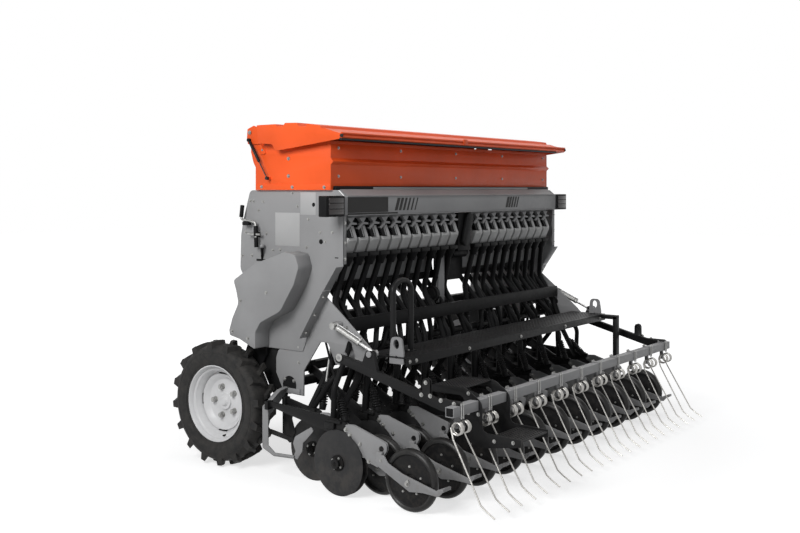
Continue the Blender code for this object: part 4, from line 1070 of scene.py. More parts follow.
# %% Crossing hoses
CROSSING_REACH = 1.190
BENDS = {"rear": ((-0.060, 0.740), (-0.085, 0.560)), "front": ((-0.020, 0.730), (0.060, 0.560))}
paths = []
for name, y, rail, first in BANKS:
    for row in rows_of(first):
        x, start = row_x(row), STARTS[row]
        inward = within(start + UNIT_PITCH / 2, CROSSING_REACH)
        between, above = BENDS[name]
        paths.append([(start, 0.192, 1.160), (start, 0.184, 1.095), (inward, 0.020, 0.860),
                      ((inward + x) / 2, *between), (x + 0.012, *above), (x + 0.012, y + 0.056, 0.352)])
tubes("vent_hoses", paths, 0.0160, DARK, corner=0.07, sides=10)

# %% [markdown]
# Under each metering unit sits a black funnel. In front of them a grey panel with folded edges hangs on
# either side of a dark box, over a dark skirt. A dark angle bar runs across the hoses lower down.

# %% Funnels and panels
PANEL_END = 1.2150
drawing = bmesh.new()
for start in STARTS:
    box(drawing, (start - 0.043, -0.002, 1.246), (start + 0.043, 0.088, 1.2695), 0.003)
    rod(drawing, (start, 0.034, 1.250), (start, 0.040, 1.196), 0.040, 16, 0, 0.0205)
dress("hose_funnels", drawing, DARK)
drawing = bmesh.new()
for near, far in ((-PANEL_END, -0.170), (0.175, PANEL_END)):
    for rear, low, front, high in ((0.158, 1.103, 0.161, 1.300), (0.150, 1.100, 0.161, 1.103),
                                   (0.096, 1.298, 0.161, 1.301)):
        box(drawing, (near, rear, low), (far, front, high), 0.0008)
dress("drop_panel", drawing, PANEL)
make("drop_skirt", DARK, (box, (-PANEL_END, 0.162, 1.052), (PANEL_END, 0.165, 1.106), 0.0008),
     (box, (-0.075, 0.100, 1.035), (0.130, 0.150, 1.275), 0.004),
     (box, (-PANEL_END, -0.036, 0.834), (PANEL_END, -0.031, 0.908), 0.001),
     (box, (-PANEL_END, -0.036, 0.906), (PANEL_END, -0.010, 0.910), 0.001),
     (pin, -0.060, 0.110, (0.075, 1.215), 0.034, 24, 0.003))

# %% [markdown]
# ## Press wheels
# A press wheel is a dark pressed disc in a rounded rubber ring, held by five bright bolts. Each bank's
# wheels ride together on their own body.

# %% Press wheels
RING_SHAPE = [
    (0.132, 0.020), (0.140, 0.0245), (0.149, 0.022), (0.156, 0.015), (0.1595, 0.006), (0.160, 0.0),
    (0.1595, -0.006), (0.156, -0.015), (0.149, -0.022), (0.140, -0.0245), (0.132, -0.020), (0.132, 0.020)]
HALF_PLATE = [(0, 0.012), (0.024, 0.012), (0.030, 0.010), (0.036, 0.016), (0.095, 0.016), (0.108, 0.011),
              (0.126, 0.012), (0.133, 0.019)]
PLATE_SHAPE = HALF_PLATE + [(radius, -height) for radius, height in reversed(HALF_PLATE)]
for name, y, rail, first in BANKS:
    rows, body, axle = rows_of(first), f"press_wheels_{name}", (y - PRESS_BACK, PRESS_R)
    drawing = sketch((lathe, RING_SHAPE, (row_x(first), *axle), 48))
    weld(drawing)
    row_of(f"press_rings_{name}", drawing, RING, len(rows), ROW_STEP, body,
           tuple(f"press_wheel_{name}_{row + 1:02d}" for row in rows))
    drawing = sketch((lathe, PLATE_SHAPE, (row_x(first), *axle), 40))
    row_of(f"press_discs_{name}", drawing, BLACK, len(rows), ROW_STEP, body)
    places = [((row_x(row) + hand * 0.0155, *spot), (hand, 0, 0), 0.8)
              for row in rows for spot in around(axle, 0.072, 5, 0.3) for hand in (-1, 1)]
    bolts(f"press_bolts_{name}", places, body, head=0.007, washer=0.008, stud=0.001)

# %% [markdown]
# ## Down pressure
# Over the coulters lies a turning shaft with a lever for each row. From the lever's tip a rod leads down to
# the coulter through a coil spring. The springs come from a spiral in Geometry Nodes.

# %% Spring tree
coil_tree, ins, COILS = start_tree("coils", [
    ("Turns", "Float", 5.0), ("Coil", "Float", 0.02), ("Wire", "Float", 0.004), ("Length", "Float", 0.1)])
spiral = add(coil_tree, "GeometryNodeCurveSpiral", {
    "Resolution": 14, "Rotations": ins["Turns"], "Start Radius": ins["Coil"], "End Radius": ins["Coil"],
    "Height": ins["Length"]})
wire = add(coil_tree, "GeometryNodeCurvePrimitiveCircle", {"Resolution": 8, "Radius": ins["Wire"]})
wound = add(coil_tree, "GeometryNodeCurveToMesh", {
    "Curve": spiral.outputs["Curve"], "Profile Curve": wire.outputs["Curve"], "Fill Caps": True})
sprung = add(coil_tree, "GeometryNodeInstanceOnPoints", {
    "Points": ins["Geometry"], "Instance": wound.outputs["Mesh"],
    "Rotation": attribute(coil_tree, "turn", "FLOAT_VECTOR")})
end_tree(coil_tree, ins, sprung.outputs[0])

# %% [markdown]
# Every lever leans from the shaft to its rod's top. The two outermost rows at each end stand outside the
# plates, so their thin rods slope out to them from levers inside. The second of each pair is zinc.

# %% Shaft, levers, rods and springs
SHAFT = (0.035, 0.720)
SPRING_LINES = {"rear": ((-0.005, 0.800), (REAR_Y - 0.023, 0.385)),
                "front": ((0.062, 0.785), (FRONT_Y - 0.034, 0.390))}
OUTER_TIPS = {0: (0.170, 0.800), 1: (0.120, 0.792)}
SPRING_PARTS = ((0.128, 0.142, 0.021, 16, 0.002), (0.142, 0.160, 0.013, 14, 0.002),
                (0.030, 0.130, 0.0155, 12), (0.002, 0.034, 0.019, 14, 0.002, 0.022))
drawing, rods, slim, coils = bmesh.new(), bmesh.new(), bmesh.new(), []
pin(drawing, -PLATES_IN, PLATES_IN, SHAFT, 0.022, 24)
for name, y, rail, first in BANKS:
    tip, foot = SPRING_LINES[name]
    for row in rows_of(first):
        outward = outward_of(row)
        x = row_x(row) - outward * 0.025
        near_end = min(row, ROWS - 1 - row)
        thin = near_end in OUTER_TIPS
        top, low = Vector((x, *tip)), Vector((x, *foot))
        if thin:
            top = Vector((outward * (1.204 - 0.014 * near_end), *OUTER_TIPS[near_end]))
        up = (top - low).normalized()
        bar(drawing, (top.x, *SHAFT), top, 0.010, 0.030, 0.002)
        pin(drawing, top.x - 0.012, top.x + 0.012, top.yz, 0.013, 12)
        rod(slim if near_end == 1 else rods, top, low + up * 0.132, 0.0066 if thin else 0.0095, 14)
        for from_low, to_low, *form in SPRING_PARTS:
            rod(rods, low + up * from_low, low + up * to_low, *form)
        coils.append((tuple(low + up * 0.030), tuple(up), 1.0))
dress("pressure_levers", drawing, BLACK, nodes=("pressure_shaft",))
dress("pressure_rods", rods, DARK)
dress("pressure_rods_outer", slim, ZINC)
springs = point_cloud("pressure_springs", coils)
grow(springs, coil_tree, COILS, {
    "Turns": 7.0, "Coil": 0.0195, "Wire": 0.0046, "Length": 0.098, "Material": BLACK})
shade(springs, 60)
settle(springs, "drill_frame")

# %% [markdown]
# ## Drive wheels
# The tyre's section is turned round the axle. Its sidewall bulges, and two thin rings stand on it.

# %% Tyres
WHEEL_X, WHEEL_Y, WHEEL_R = 1.350, 0.830, 0.3675
TREAD_HALF = 0.070
WALL = [(0.318, 0.0740), (0.308, 0.0770), (0.292, 0.0795), (0.274, 0.0785), (0.257, 0.0740),
        (0.242, 0.0690), (0.231, 0.0660), (0.2205, 0.0640)]


def tread_height(across):
    """The tread's radius at a distance across it from the middle."""
    return WHEEL_R - 0.023 - 0.019 * (abs(across) / TREAD_HALF) ** 2.4


tread = [(tread_height(across), across)
         for across in (0.068, 0.056, 0.040, 0.020, 0.0, -0.020, -0.040, -0.056, -0.068)]
section = tread + [(radius, -height) for radius, height in WALL] + WALL[::-1] + tread[:1]
for name, side in SIDES:
    centre = (side * WHEEL_X, WHEEL_Y, WHEEL_R)
    drawing = sketch((lathe, section, centre, 64))
    for radius, height in ((0.300, 0.0785), (0.244, 0.0700)):
        for hand in (-1, 1):
            foot, crest = hand * (height - 0.004), hand * (height + 0.001)
            rib = [(radius - 0.003, foot), (radius - 0.0015, crest), (radius + 0.0015, crest),
                   (radius + 0.003, foot), (radius - 0.003, foot)]
            lathe(drawing, rib, centre, 64)
    weld(drawing)
    dress(f"tyre_body_{name}", drawing, TYRE, f"wheel_{name}", (f"tyre_{name}",), 45)

# %% [markdown]
# The lugs meet in a herringbone. One lug of each hand follows the tread's curve, and is turned round the
# axle to make the set. The second hand stands half a lug further on.

# %% Lugs
LUGS = 16
LUG_TURN = math.tau / LUGS


def lug(centre, hand):
    """One lug from the middle of the tread over its shoulder."""
    drawing = bmesh.new()
    rings = []
    for step in range(8):
        share = step / 7
        across = hand * (-0.004 + 0.078 * share)
        back = 0.046 * share ** 0.9
        ground = tread_height(min(TREAD_HALF, abs(across)))
        low = ground - (0.006 + 0.020 * share ** 3)
        high = ground + 0.023 + 0.012 * share ** 3
        wide = 0.0125 + 0.010 * share ** 2
        ring = []
        for radius, shift in ((low, -1.55), (high, -0.80), (high, 0.80), (low, 1.55)):
            turn = (back + wide * shift) / WHEEL_R
            ring.append(drawing.verts.new((centre[0] + across, centre[1] + radius * math.sin(turn),
                                           centre[2] + radius * math.cos(turn))))
        rings.append(ring)
    for here, there in zip(rings, rings[1:]):
        for step in range(4):
            after = (step + 1) % 4
            drawing.faces.new((here[step], here[after], there[after], there[step]))
    drawing.faces.new(rings[0])
    drawing.faces.new(reversed(rings[-1]))
    bmesh.ops.recalc_face_normals(drawing, faces=drawing.faces)
    return drawing


for name, side in SIDES:
    centre = (side * WHEEL_X, WHEEL_Y, WHEEL_R)
    for hand in (-1, 1):
        drawing = lug(centre, hand)
        if hand > 0:
            half_turn = Matrix.Rotation(LUG_TURN / 2, 3, "X")
            bmesh.ops.rotate(drawing, cent=centre, matrix=half_turn, verts=drawing.verts)
        row_of(f"tyre_lugs_{name}_{'inner' if hand * side < 0 else 'outer'}", drawing, TYRE, LUGS,
               body=f"wheel_{name}", turn=(LUG_TURN, 0, 0), pivot=centre)

# %% [markdown]
# The rim is one deep dish. A thin dark box, painted shade in place of a slot in the dish, is turned four
# times round its edge, five bolts hold it, and a cap closes the hub.

# %% Rims
DISH = [(0.0, -0.004), (0.026, -0.004), (0.031, -0.010), (0.046, -0.010), (0.049, -0.020), (0.052, -0.022),
        (0.128, -0.022), (0.136, -0.018), (0.158, 0.006), (0.164, 0.007), (0.167, -0.004), (0.174, -0.004),
        (0.178, 0.016), (0.184, 0.021), (0.190, 0.040), (0.197, 0.045), (0.204, 0.048), (0.209, 0.060),
        (0.219, 0.070), (0.2245, 0.070), (0.2200, 0.062), (0.2200, -0.062), (0.2245, -0.068),
        (0.219, -0.070), (0.205, -0.058), (0.180, -0.052), (0.166, -0.012), (0.134, -0.032),
        (0.052, -0.036), (0.0, -0.036)]
HUB_CAP = [(0, 0.002), (0.020, 0.002), (0.024, -0.002), (0.026, -0.008), (0, -0.008)]
for name, side in SIDES:
    body, x, centre = f"wheel_{name}", side * WHEEL_X, (side * WHEEL_X, WHEEL_Y, WHEEL_R)
    make(f"rim_dish_{name}", WHEEL, (lathe, DISH, centre, 64, side), body=body, nodes=(f"rim_{name}",),
         sharp=40)
    make(f"hub_cap_{name}", WHEEL, (lathe, HUB_CAP, centre, 28, side), body=body)
    # The dark box is painted shade standing for the rim's slot.
    gap_x, gap_z = x + side * 0.0010, WHEEL_R + 0.1695
    drawing = sketch((box, (gap_x - 0.0060, WHEEL_Y - 0.032, gap_z - 0.0035),
                      (gap_x + 0.0060, WHEEL_Y + 0.032, gap_z + 0.0020), 0.002))
    row_of(f"rim_slot_shade_{name}", drawing, DARK, 4, body=body, turn=(math.tau / 4, 0, 0), pivot=centre,
           slot="wheel_grey")
    places = [((x - side * 0.0225, *spot), (side, 0, 0), 1.3) for spot in around(centre[1:], 0.088, 5)]
    bolts(f"wheel_bolts_{name}", places, body, head=0.012, height=0.018, washer=0.015)
    valve = (WHEEL_Y - 0.060, WHEEL_R - 0.182)
    make(f"tyre_valve_{name}", DARK, (pin, x + side * 0.030, x + side * 0.060, valve, 0.005, 10), body=body)

# %% [markdown]
# ## Hopper lid
# The lid is one pressed sheet with three lengthwise channels, a rolled rear edge over a rubber seal, and a
# flap at each end. Its section is drawn once and stretched along the drill. Towards the front it is
# narrower, so that it touches nothing as it opens.

# %% Lid
LID_X = 1.310
SHEET_X = LID_X - 0.004
CROWN = [(-0.052, 1.936), (-0.041, 1.934), (-0.001, 1.944), (0.040, 1.955), (0.070, 1.965), (0.100, 1.966),
         (0.110, 1.983), (0.202, 1.996), (0.214, 1.981), (0.268, 1.983), (0.282, 2.004), (0.372, 2.0065),
         (0.390, 1.987), (0.436, 1.988), (0.446, 2.002), (0.574, 2.0015), (0.640, 1.996), (0.690, 1.988),
         (0.706, 1.975), (0.7115, 1.955), (0.7115, 1.901)]
ROLL = [(-0.030, 1.930), (-0.044, 1.926), (-0.050, 1.914), (-0.040, 1.906), (0.020, 1.909)]
FLAP = CROWN[:-5] + [(0.596, 2.0000), (0.584, 1.894), (0.478, 1.888), (0.445, 1.852), (0.430, 1.849),
                     (-0.030, 1.9035), (-0.048, 1.908), (-0.0525, 1.920)]


def offset_sheet(line, thick):
    """The outline of a bent sheet: the line, and the line moved in by its thickness."""
    inner = []
    for index, (y, z) in enumerate(line):
        before, after = Vector(line[max(0, index - 1)]), Vector(line[min(len(line) - 1, index + 1)])
        along = (after - before).normalized()
        inner.append((y + along.y * thick, z - along.x * thick))
    return list(line) + list(reversed(inner))


make("lid_sheet", ORANGE,
     (sheet, -SHEET_X, SHEET_X, offset_sheet(CROWN[:16] + [(0.594, 2.0002)], 0.004)),
     (sheet, -1.266, 1.266, offset_sheet([(0.593, 2.0002)] + CROWN[16:19], 0.004)),
     (sheet, -1.240, 1.240, offset_sheet(CROWN[18:], 0.004)),
     (sheet, -SHEET_X, SHEET_X, offset_sheet(ROLL, 0.003)),
     *((sheet, side * (LID_X - 0.0045), side * LID_X, FLAP, 0.0015) for name, side in SIDES),
     (pin, -LID_X, LID_X, (-0.0475, 1.9350), 0.0065, 14),
     (box, (-0.096, -0.0545, 1.9130), (-0.046, -0.0500, 1.9480), 0.0015),
     body="lid", nodes=("lid",), sharp=32)
make("lid_seal", SEAL, (pin, -LID_X - 0.004, 1.180, (-0.041, 1.9030), 0.0075, 14),
     (pin, -LID_X - 0.005, -LID_X + 0.006, (-0.0470, 1.9220), 0.0100, 16, 0.002),
     (pin, LID_X - 0.006, LID_X + 0.005, (-0.0470, 1.9220), 0.0100, 16, 0.002), body="lid")

# %% [markdown]
# At the front corners the lid turns on two eared brackets, and a gas strut holds it up. The strut's tube
# and its rod slide into each other, so each rides on a body of its own.

# %% Lid ears and strut ends
STRUT_X = 1.285
STRUT_TOP, STRUT_FOOT = (0.683, 1.918), (0.536, 1.691)
EAR = rounded([(0.590, 1.985, 0), (0.632, 1.995, 0.004), (0.656, 2.003, 0.006), (0.706, 1.984, 0.006),
               (0.711, 1.930, 0.01), (0.702, 1.894, 0.006), (0.610, 1.892, 0.004)])
drawing = bmesh.new()
for name, side in SIDES:
    sheet(drawing, side * 1.268, side * 1.274, EAR, 0.0015)
    pin(drawing, side * 1.270, side * 1.2745, STRUT_TOP, 0.013, 18, 0.001)
dress("lid_ears", drawing, ORANGE, "lid")
for name, side in SIDES:
    x = side * STRUT_X
    top, foot = Vector((x, *STRUT_TOP)), Vector((x, *STRUT_FOOT))
    along = (foot - top).normalized()
    barrel, piston = f"strut_barrel_{name}", f"strut_rod_{name}"
    make(f"strut_tube_{name}", BLACK, (rod, top + along * 0.010, top + along * 0.150, 0.0088, 20, 0.002),
         (rod, top + along * 0.146, top + along * 0.153, 0.0075, 16, 0.001),
         (pin, x - 0.0098, x + 0.0098, STRUT_TOP, 0.0105, 18, 0.002), body=barrel, nodes=(barrel,))
    make(f"strut_piston_{name}", DISC, (rod, top + along * 0.078, foot - along * 0.004, 0.0036, 14),
         (pin, x - 0.0098, x + 0.0098, STRUT_FOOT, 0.0095, 18, 0.002), body=piston, nodes=(piston,))

# %% [markdown]
# The hopper's ends have a folded foot, a lengthwise crease and bolts. The rear wall has two rows of bolts.

# %% Hopper trim
REAR_CREASE = [(0.0755, 1.878), (0.0755, 1.899), (0.0790, 1.899), (0.0790, 1.878)]
END_CREASE = [(0.078, 1.879), (0.078, 1.898), (0.600, 1.888), (0.640, 1.879)]
END_CORNER = [(0.470, 1.868), (0.470, 1.896), (0.570, 1.900), (0.596, 1.916), (0.688, 1.916),
              (0.688, 1.868)]
END_BOLTS = ((0.594, 1.858), (0.391, 1.804), (0.391, 1.704), (0.603, 1.642), (0.361, 1.640),
             (0.121, 1.639))
drawing = sketch((sheet, -1.2530, 1.2530, REAR_CREASE))
places = []
for name, side in SIDES:
    box(drawing, (side * 1.2560, 0.078, 1.6240), (side * 1.2590, 0.652, 1.6560), 0.001)
    sheet(drawing, side * 1.2530, side * 1.2572, END_CREASE)
    sheet(drawing, side * 1.2445, side * 1.2540, END_CORNER)
    places += [((side * 1.2592, y, z), (side, 0, 0), 0.9) for y, z in END_BOLTS]
    places.append(((side * 1.2765, 0.684, 1.963), (side, 0, 0), 1.1))
dress("hopper_trim", drawing, ORANGE)
places += [((x, 0.0750, z), (0, -1, 0), 0.75)
           for x in (-1.19, -0.60, 0.009, 0.60, 1.19) for z in (1.860, 1.701)]
bolts("hopper_bolts", places)

# %% [markdown]
# ## Chain guards
# A deep pressed guard covers the drive chain on each side. Its S-shaped outline and rounded rim are what
# one sees from behind, where the rim falls into shade.

# %% Chain guards
GUARD_X = 1.3598
GUARD_LOW = 0.7065
GUARD = rounded([
    (0.560, 0.700, 0.01), (0.685, 0.751, 0.02), (0.767, 0.768, 0.012), (0.772, 0.799, 0.012),
    (0.748, 0.869, 0.04), (0.697, 0.962, 0.05), (0.716, 1.037, 0.05), (0.738, 1.094, 0.02),
    (0.560, 1.200, 0.06), (0.330, 1.274, 0.04), (0.252, 1.262, 0.03), (0.224, 1.190, 0.05),
    (0.262, 1.090, 0.08), (0.365, 0.935, 0.07), (0.520, 0.860, 0.05), (0.560, 0.800, 0.05)], 6)
GUARD = [(y, max(z, GUARD_LOW)) for y, z in GUARD]
for name, side in SIDES:
    make(f"guard_shell_{name}", PANEL, (sheet, side * (SIDE_X + 0.0003), side * GUARD_X, GUARD, 0.005),
         nodes=(f"chain_guard_{name}",))

# %% [markdown]
# A bolted strip with three bolts stiffens each side plate along its sloping rear edge, and the plate's own
# edge is folded out above it.

# %% Edge strips
STRIP_NEAR, STRIP_FAR = 1.2395, 1.302
STRIP_WIDE = STRIP_FAR - STRIP_NEAR
STRIP_OUT = Vector((0, -0.851, -0.526))
drawing, places = bmesh.new(), []
for name, side in SIDES:
    x = side * (STRIP_NEAR + STRIP_FAR) / 2
    top, low = Vector((x, 0.100, 1.060)), Vector((x, 0.270, 0.785))
    bar(drawing, top, low, STRIP_WIDE, 0.005, 0.001)
    bar(drawing, (x, 0.004, 1.198), (x, 0.096, 1.064), STRIP_WIDE * 0.9, 0.005, 0.001)
    places += [(tuple(top.lerp(low, share) + STRIP_OUT * 0.0025), tuple(STRIP_OUT), 1.1)
               for share in (0.12, 0.50, 0.88)]
dress("edge_strips", drawing, PANEL)
bolts("edge_strip_bolts", places)

# %% [markdown]
# ## Bolts on the plates
# Dozens of bolt heads hold what is behind the side plates. Their places are listed once and mirrored.

# %% Plate bolts
PLATE_BOLTS = [(0.715, 1.559), (0.690, 1.557), (0.610, 1.554), (0.648, 1.503), (0.379, 1.606),
               (0.340, 1.530), (0.257, 1.457), (0.583, 1.368), (0.169, 1.384), (0.128, 1.333),
               (0.078, 1.386), (0.270, 1.297), (0.531, 1.271), (0.475, 1.275), (0.783, 1.231),
               (0.752, 1.371), (0.702, 1.235), (0.702, 1.053)]
GUARD_BOLTS = [(0.471, 1.036), (0.680, 0.977), (0.745, 0.795), (0.618, 0.762)]
CHASSIS_BOLTS = [(-0.021, 0.860), (0.335, 0.722), (0.335, 0.632), (0.442, 0.528), (0.372, 0.524),
                 (0.440, 0.462)]
places = []
for name, side in SIDES:
    shown = [place for place in PLATE_BOLTS if name == "right" or place[1] > 1.06]
    for x, size, spots in ((SIDE_X, 0.8, shown), (GUARD_X, 0.9, GUARD_BOLTS),
                           (CHASSIS_X, 0.9, CHASSIS_BOLTS)):
        places += [((side * x, y, z), (side, 0, 0), size) for y, z in spots]
    places += [((side * 1.2250, -0.0005, z), (0, -1, 0), 0.8) for z in (1.240, 1.330, 1.440)]
bolts("plate_bolts", places)

# %% [markdown]
# Thin dark discs and bars on the side plates are painted shade where the plates have round holes and slots,
# and thin pale plates stay blank.

# %% Painted hole shade and blank plates
# The dark discs and bars are painted shade standing for the shade seen in the plates' holes and slots.
hole_shade, blanks = bmesh.new(), bmesh.new()
box(hole_shade, (-SIDE_X - 0.0012, 0.578, 1.204), (-SIDE_X + 0.001, 0.664, 1.216), 0.0005)
for name, side in SIDES:
    inside, outside = side * (SIDE_X - 0.001), side * (SIDE_X + 0.0012)
    for spot, radius in (((0.161, 1.332), 0.014), ((0.216, 1.540), 0.012)):
        pin(hole_shade, inside, outside, spot, radius, 20, 0.0006)
    box(hole_shade, (inside, 0.034, 1.242), (outside, 0.058, 1.248), 0.0005)
    for low, high in (((0.200, 1.482), (0.316, 1.610)), ((0.322, 1.300), (0.512, 1.492)),
                      ((0.420, 1.130), (0.560, 1.215))):
        box(blanks, (side * (SIDE_X - 0.0005), *low), (side * (SIDE_X + 0.0008), *high), 0.0003)
dress("plate_hole_shade", hole_shade, DARK)
dress("blank_plates", blanks, BLANK)

# %% [markdown]
# ## Crank and lever
# The calibration crank stands in a clamp on the left plate, and a small lever with a ball knob sits in a
# slot next to it. Both are bent round bars.

# %% Crank and lever
CRANK_X = -1.270
KNOB = [(0, 0.016), (0.006, 0.0145), (0.0115, 0.0095), (0.0135, 0.002), (0.012, -0.006), (0.006, -0.011),
        (0, -0.0115)]
make("crank_clamp", DARK, (pin, -SIDE_X - 0.0005, CRANK_X, (0.641, 1.360), 0.0155, 20, 0.002),
     (rod, (CRANK_X, 0.6365, 1.286), (CRANK_X, 0.6385, 1.345), 0.0125, 18, 0.003),
     (rod, (CRANK_X, 0.6395, 1.352), (CRANK_X, 0.6425, 1.412), 0.0135, 18, 0.003),
     (box, (CRANK_X - 0.014, 0.690, 1.414), (CRANK_X + 0.014, 0.742, 1.437), 0.005))
bent = [(CRANK_X, 0.638, 1.290), (CRANK_X, 0.644, 1.433), (CRANK_X, 0.764, 1.449), (CRANK_X, 0.751, 1.531)]
cross = [(CRANK_X - 0.004, 0.600, 1.362), (CRANK_X - 0.004, 0.702, 1.364)]
tubes("crank_bar", [bent, cross], 0.0072, ZINC, nodes=("crank_handle",), corner=0.018, sides=14)
make("crank_grip", DARK, (rod, (CRANK_X, 0.7612, 1.462), (CRANK_X, 0.7512, 1.533), 0.0125, 20, 0.003))
make("lever_stem", DARK,
     (rod, (-SIDE_X - 0.002, 0.617, 1.212), (-SIDE_X - 0.022, 0.598, 1.282), 0.0055, 14, 0, 0.0105))
make("lever_knob", LIGHT, (lathe, KNOB, (-SIDE_X - 0.023, 0.594, 1.295), 20, -1))

# %% [markdown]
# ## Walkway
# The walkway is one folded sheet on cross ribs, with a bent bracket at its right end.

# %% Walkway
TREAD = [(-0.4197, 0.7300), (-0.4197, 0.6850), (-0.4160, 0.6850), (-0.4160, 0.7262), (-0.1540, 0.7262),
         (-0.1540, 0.6850), (-0.1503, 0.6850), (-0.1503, 0.7300)]
make("walkway_sheet", BLACK, (sheet, -1.2232, 1.2232, TREAD, 0.0008),
     (box, (1.160, -0.535, 0.700), (1.210, -0.405, 0.728), 0.004),
     (box, (1.160, -0.535, 0.437), (1.210, -0.505, 0.724), 0.004),
     *((box, (x - 0.020, -0.4150, 0.6900), (x + 0.020, -0.1550, 0.6940), 0.001)
       for x in (-0.80, -0.40, 0.0, 0.40, 0.80)), nodes=("walkway",))

# %% [markdown]
# Its raised chequer keeps boots from slipping. One small lozenge makes a column, and the column is repeated
# along the walkway, in two grids that lean opposite ways.

# %% Chequer
LOZENGE = ((-0.012, 0, 0), (0, -0.0035, 0), (0.012, 0, 0), (0, 0.0035, 0), (0, 0, 0.0016))


def lozenge(target, x, y, lean):
    """A low pyramid on a lozenge, standing on the walkway."""
    part = bmesh.new()
    points = [part.verts.new(point) for point in LOZENGE]
    for step in range(4):
        part.faces.new((points[step], points[(step + 1) % 4], points[4]))
    pour(target, part, Matrix.Translation((x, y, 0.7300)) @ Matrix.Rotation(lean, 4, "Z"))


for number, (lean, x, y) in enumerate(((0.6, -1.190, -0.400), (-0.6, -1.170, -0.388))):
    column = sketch(*((lozenge, x, y + 0.024 * line, lean) for line in range(10)))
    row_of(f"walkway_chequer_{number}", column, BLACK, 59, (0.040, 0, 0), sharp=10)

# %% [markdown]
# Light grey lifting eyes stand at both ends. Each is cut from plate, with a long hole for the hook and a
# small round one below it.

# %% Lifting eyes
EYE_THICK = 0.012
RIM = rounded([(-0.395, 0.690, 0.004), (-0.300, 0.690, 0.004), (-0.302, 0.750, 0.02),
               (-0.312, 0.834, 0.026), (-0.380, 0.834, 0.026), (-0.394, 0.750, 0.02)], 5)
HOLES = []
for z, wide, high in ((0.795, 0.019, 0.027), (0.728, 0.007, 0.007)):
    turns = [math.tau * number / 20 for number in range(20)]
    HOLES.append([(-0.346 + wide * math.cos(turn), z + high * math.sin(turn)) for turn in turns])
drawing = bmesh.new()
for name, side in SIDES:
    eye = bmesh.new()
    for ring in (RIM, *HOLES):
        corners = [eye.verts.new((side * 1.206 - EYE_THICK / 2, y, z)) for y, z in ring]
        for here, there in zip(corners, corners[1:] + corners[:1]):
            eye.edges.new((here, there))
    bmesh.ops.triangle_fill(eye, edges=list(eye.edges), use_beauty=True)
    thicken(eye, list(eye.faces), (EYE_THICK, 0, 0))
    pour(drawing, eye)
dress("lifting_eyes", drawing, LIGHT)

# %% [markdown]
# A handrail loops up at the left. It is one round bar on two feet, each with two bolts.

# %% Handrail
RAIL_Y, RAIL_TOP, RAIL_BEND = -0.290, 1.127, 0.060
RAIL_NEAR, RAIL_FAR = -1.165, -1.000
shoulder = RAIL_TOP - RAIL_BEND
arch = [(RAIL_NEAR, RAIL_Y, 0.7303), (RAIL_NEAR, RAIL_Y, shoulder)]
for step in range(1, 12):
    angle = math.pi * step / 12
    arch.append((-1.0825 - 0.0825 * math.cos(angle), RAIL_Y, shoulder + RAIL_BEND * math.sin(angle)))
arch += [(RAIL_FAR, RAIL_Y, shoulder), (RAIL_FAR, RAIL_Y, 0.7303)]
tubes("handrail_bar", [arch], 0.0170, BLACK, nodes=("handrail",), sides=16)
make("handrail_feet", BLACK, *((box, (x - 0.026, -0.316, 0.7302), (x + 0.026, -0.264, 0.7345), 0.001)
                               for x in (RAIL_NEAR, RAIL_FAR)))
places = [((x + hand * 0.019, RAIL_Y, 0.7345), (0, 0, 1), 0.6)
          for x in (RAIL_NEAR, RAIL_FAR) for hand in (-1, 1)]
places += [((x, -0.4200, 0.706), (0, -1, 0), 0.9)
           for x in (-1.190, -1.130, -0.60, 0.0, 0.60, 1.130, 1.190)]
bolts("walkway_bolts", places)

# %% [markdown]
# ## Harrow
# The harrow's bar is a square tube of four thin walls, with a dark cap in each end.

# %% Harrow bar
BAR_Y, BAR_Z = -0.811, 0.520
BAR_HALF, BAR_WALL = 0.025, 0.004
HARROW_HALF = 1.395
in_half, cut = BAR_HALF - BAR_WALL, BAR_HALF - 0.002
drawing = bmesh.new()
for low, high in (((-BAR_HALF, -BAR_HALF), (BAR_HALF, -in_half)),
                  ((-BAR_HALF, in_half), (BAR_HALF, BAR_HALF)),
                  ((-BAR_HALF, -cut), (-in_half, cut)), ((in_half, -cut), (BAR_HALF, cut))):
    box(drawing, (-HARROW_HALF, BAR_Y + low[0], BAR_Z + low[1]),
        (HARROW_HALF, BAR_Y + high[0], BAR_Z + high[1]), 0.0012)
dress("harrow_tube", drawing, LIGHT, "harrow", ("harrow_bar",))
make("harrow_caps", DARK, *((box, (side * (HARROW_HALF - 0.003), BAR_Y - 0.0215, BAR_Z - 0.0215),
                             (side * (HARROW_HALF - 0.010), BAR_Y + 0.0215, BAR_Z + 0.0215), 0.001)
                            for name, side in SIDES), body="harrow")

# %% [markdown]
# Eleven double spring tines hang from the tube. Each tine is one wire: a leg, three coils, a bridge under
# the clamp, three more coils and the second leg.

# %% Tines
TINES = 11
TINE_STEP = 2 * (HARROW_HALF - 0.075) / (TINES - 1)
TINE_ROW = (TINES, (TINE_STEP, 0, 0))
COIL_Y, COIL_Z, COIL_R, COIL_SIDES = -0.832, 0.436, 0.030, 14
first = -TINE_STEP * (TINES - 1) / 2
half_tine = []
for step in range(3 * COIL_SIDES + 1):
    angle = math.tau * step / COIL_SIDES
    half_tine.append((0.018 + 0.0098 * step / COIL_SIDES, COIL_Y + COIL_R * math.cos(angle),
                      COIL_Z + COIL_R * math.sin(angle)))
half_tine += [(0.056, COIL_Y + 0.012, COIL_Z - 0.050), (0.070, -0.990, 0.091), (0.070, -1.024, 0.066),
              (0.070, -1.0700, 0.0400)]
whole = [(first - x, y, z) for x, y, z in reversed(half_tine)]
whole += [(first + x, y, z) for x, y, z in half_tine]
tubes("tines", [whole], 0.0045, SPRING, "harrow", sides=8, copy=TINE_ROW)
drawing = sketch((box, (first - 0.013, COIL_Y + COIL_R - 0.013, COIL_Z - 0.007),
                  (first + 0.013, COIL_Y + COIL_R + 0.006, BAR_Z - 0.024), 0.002))
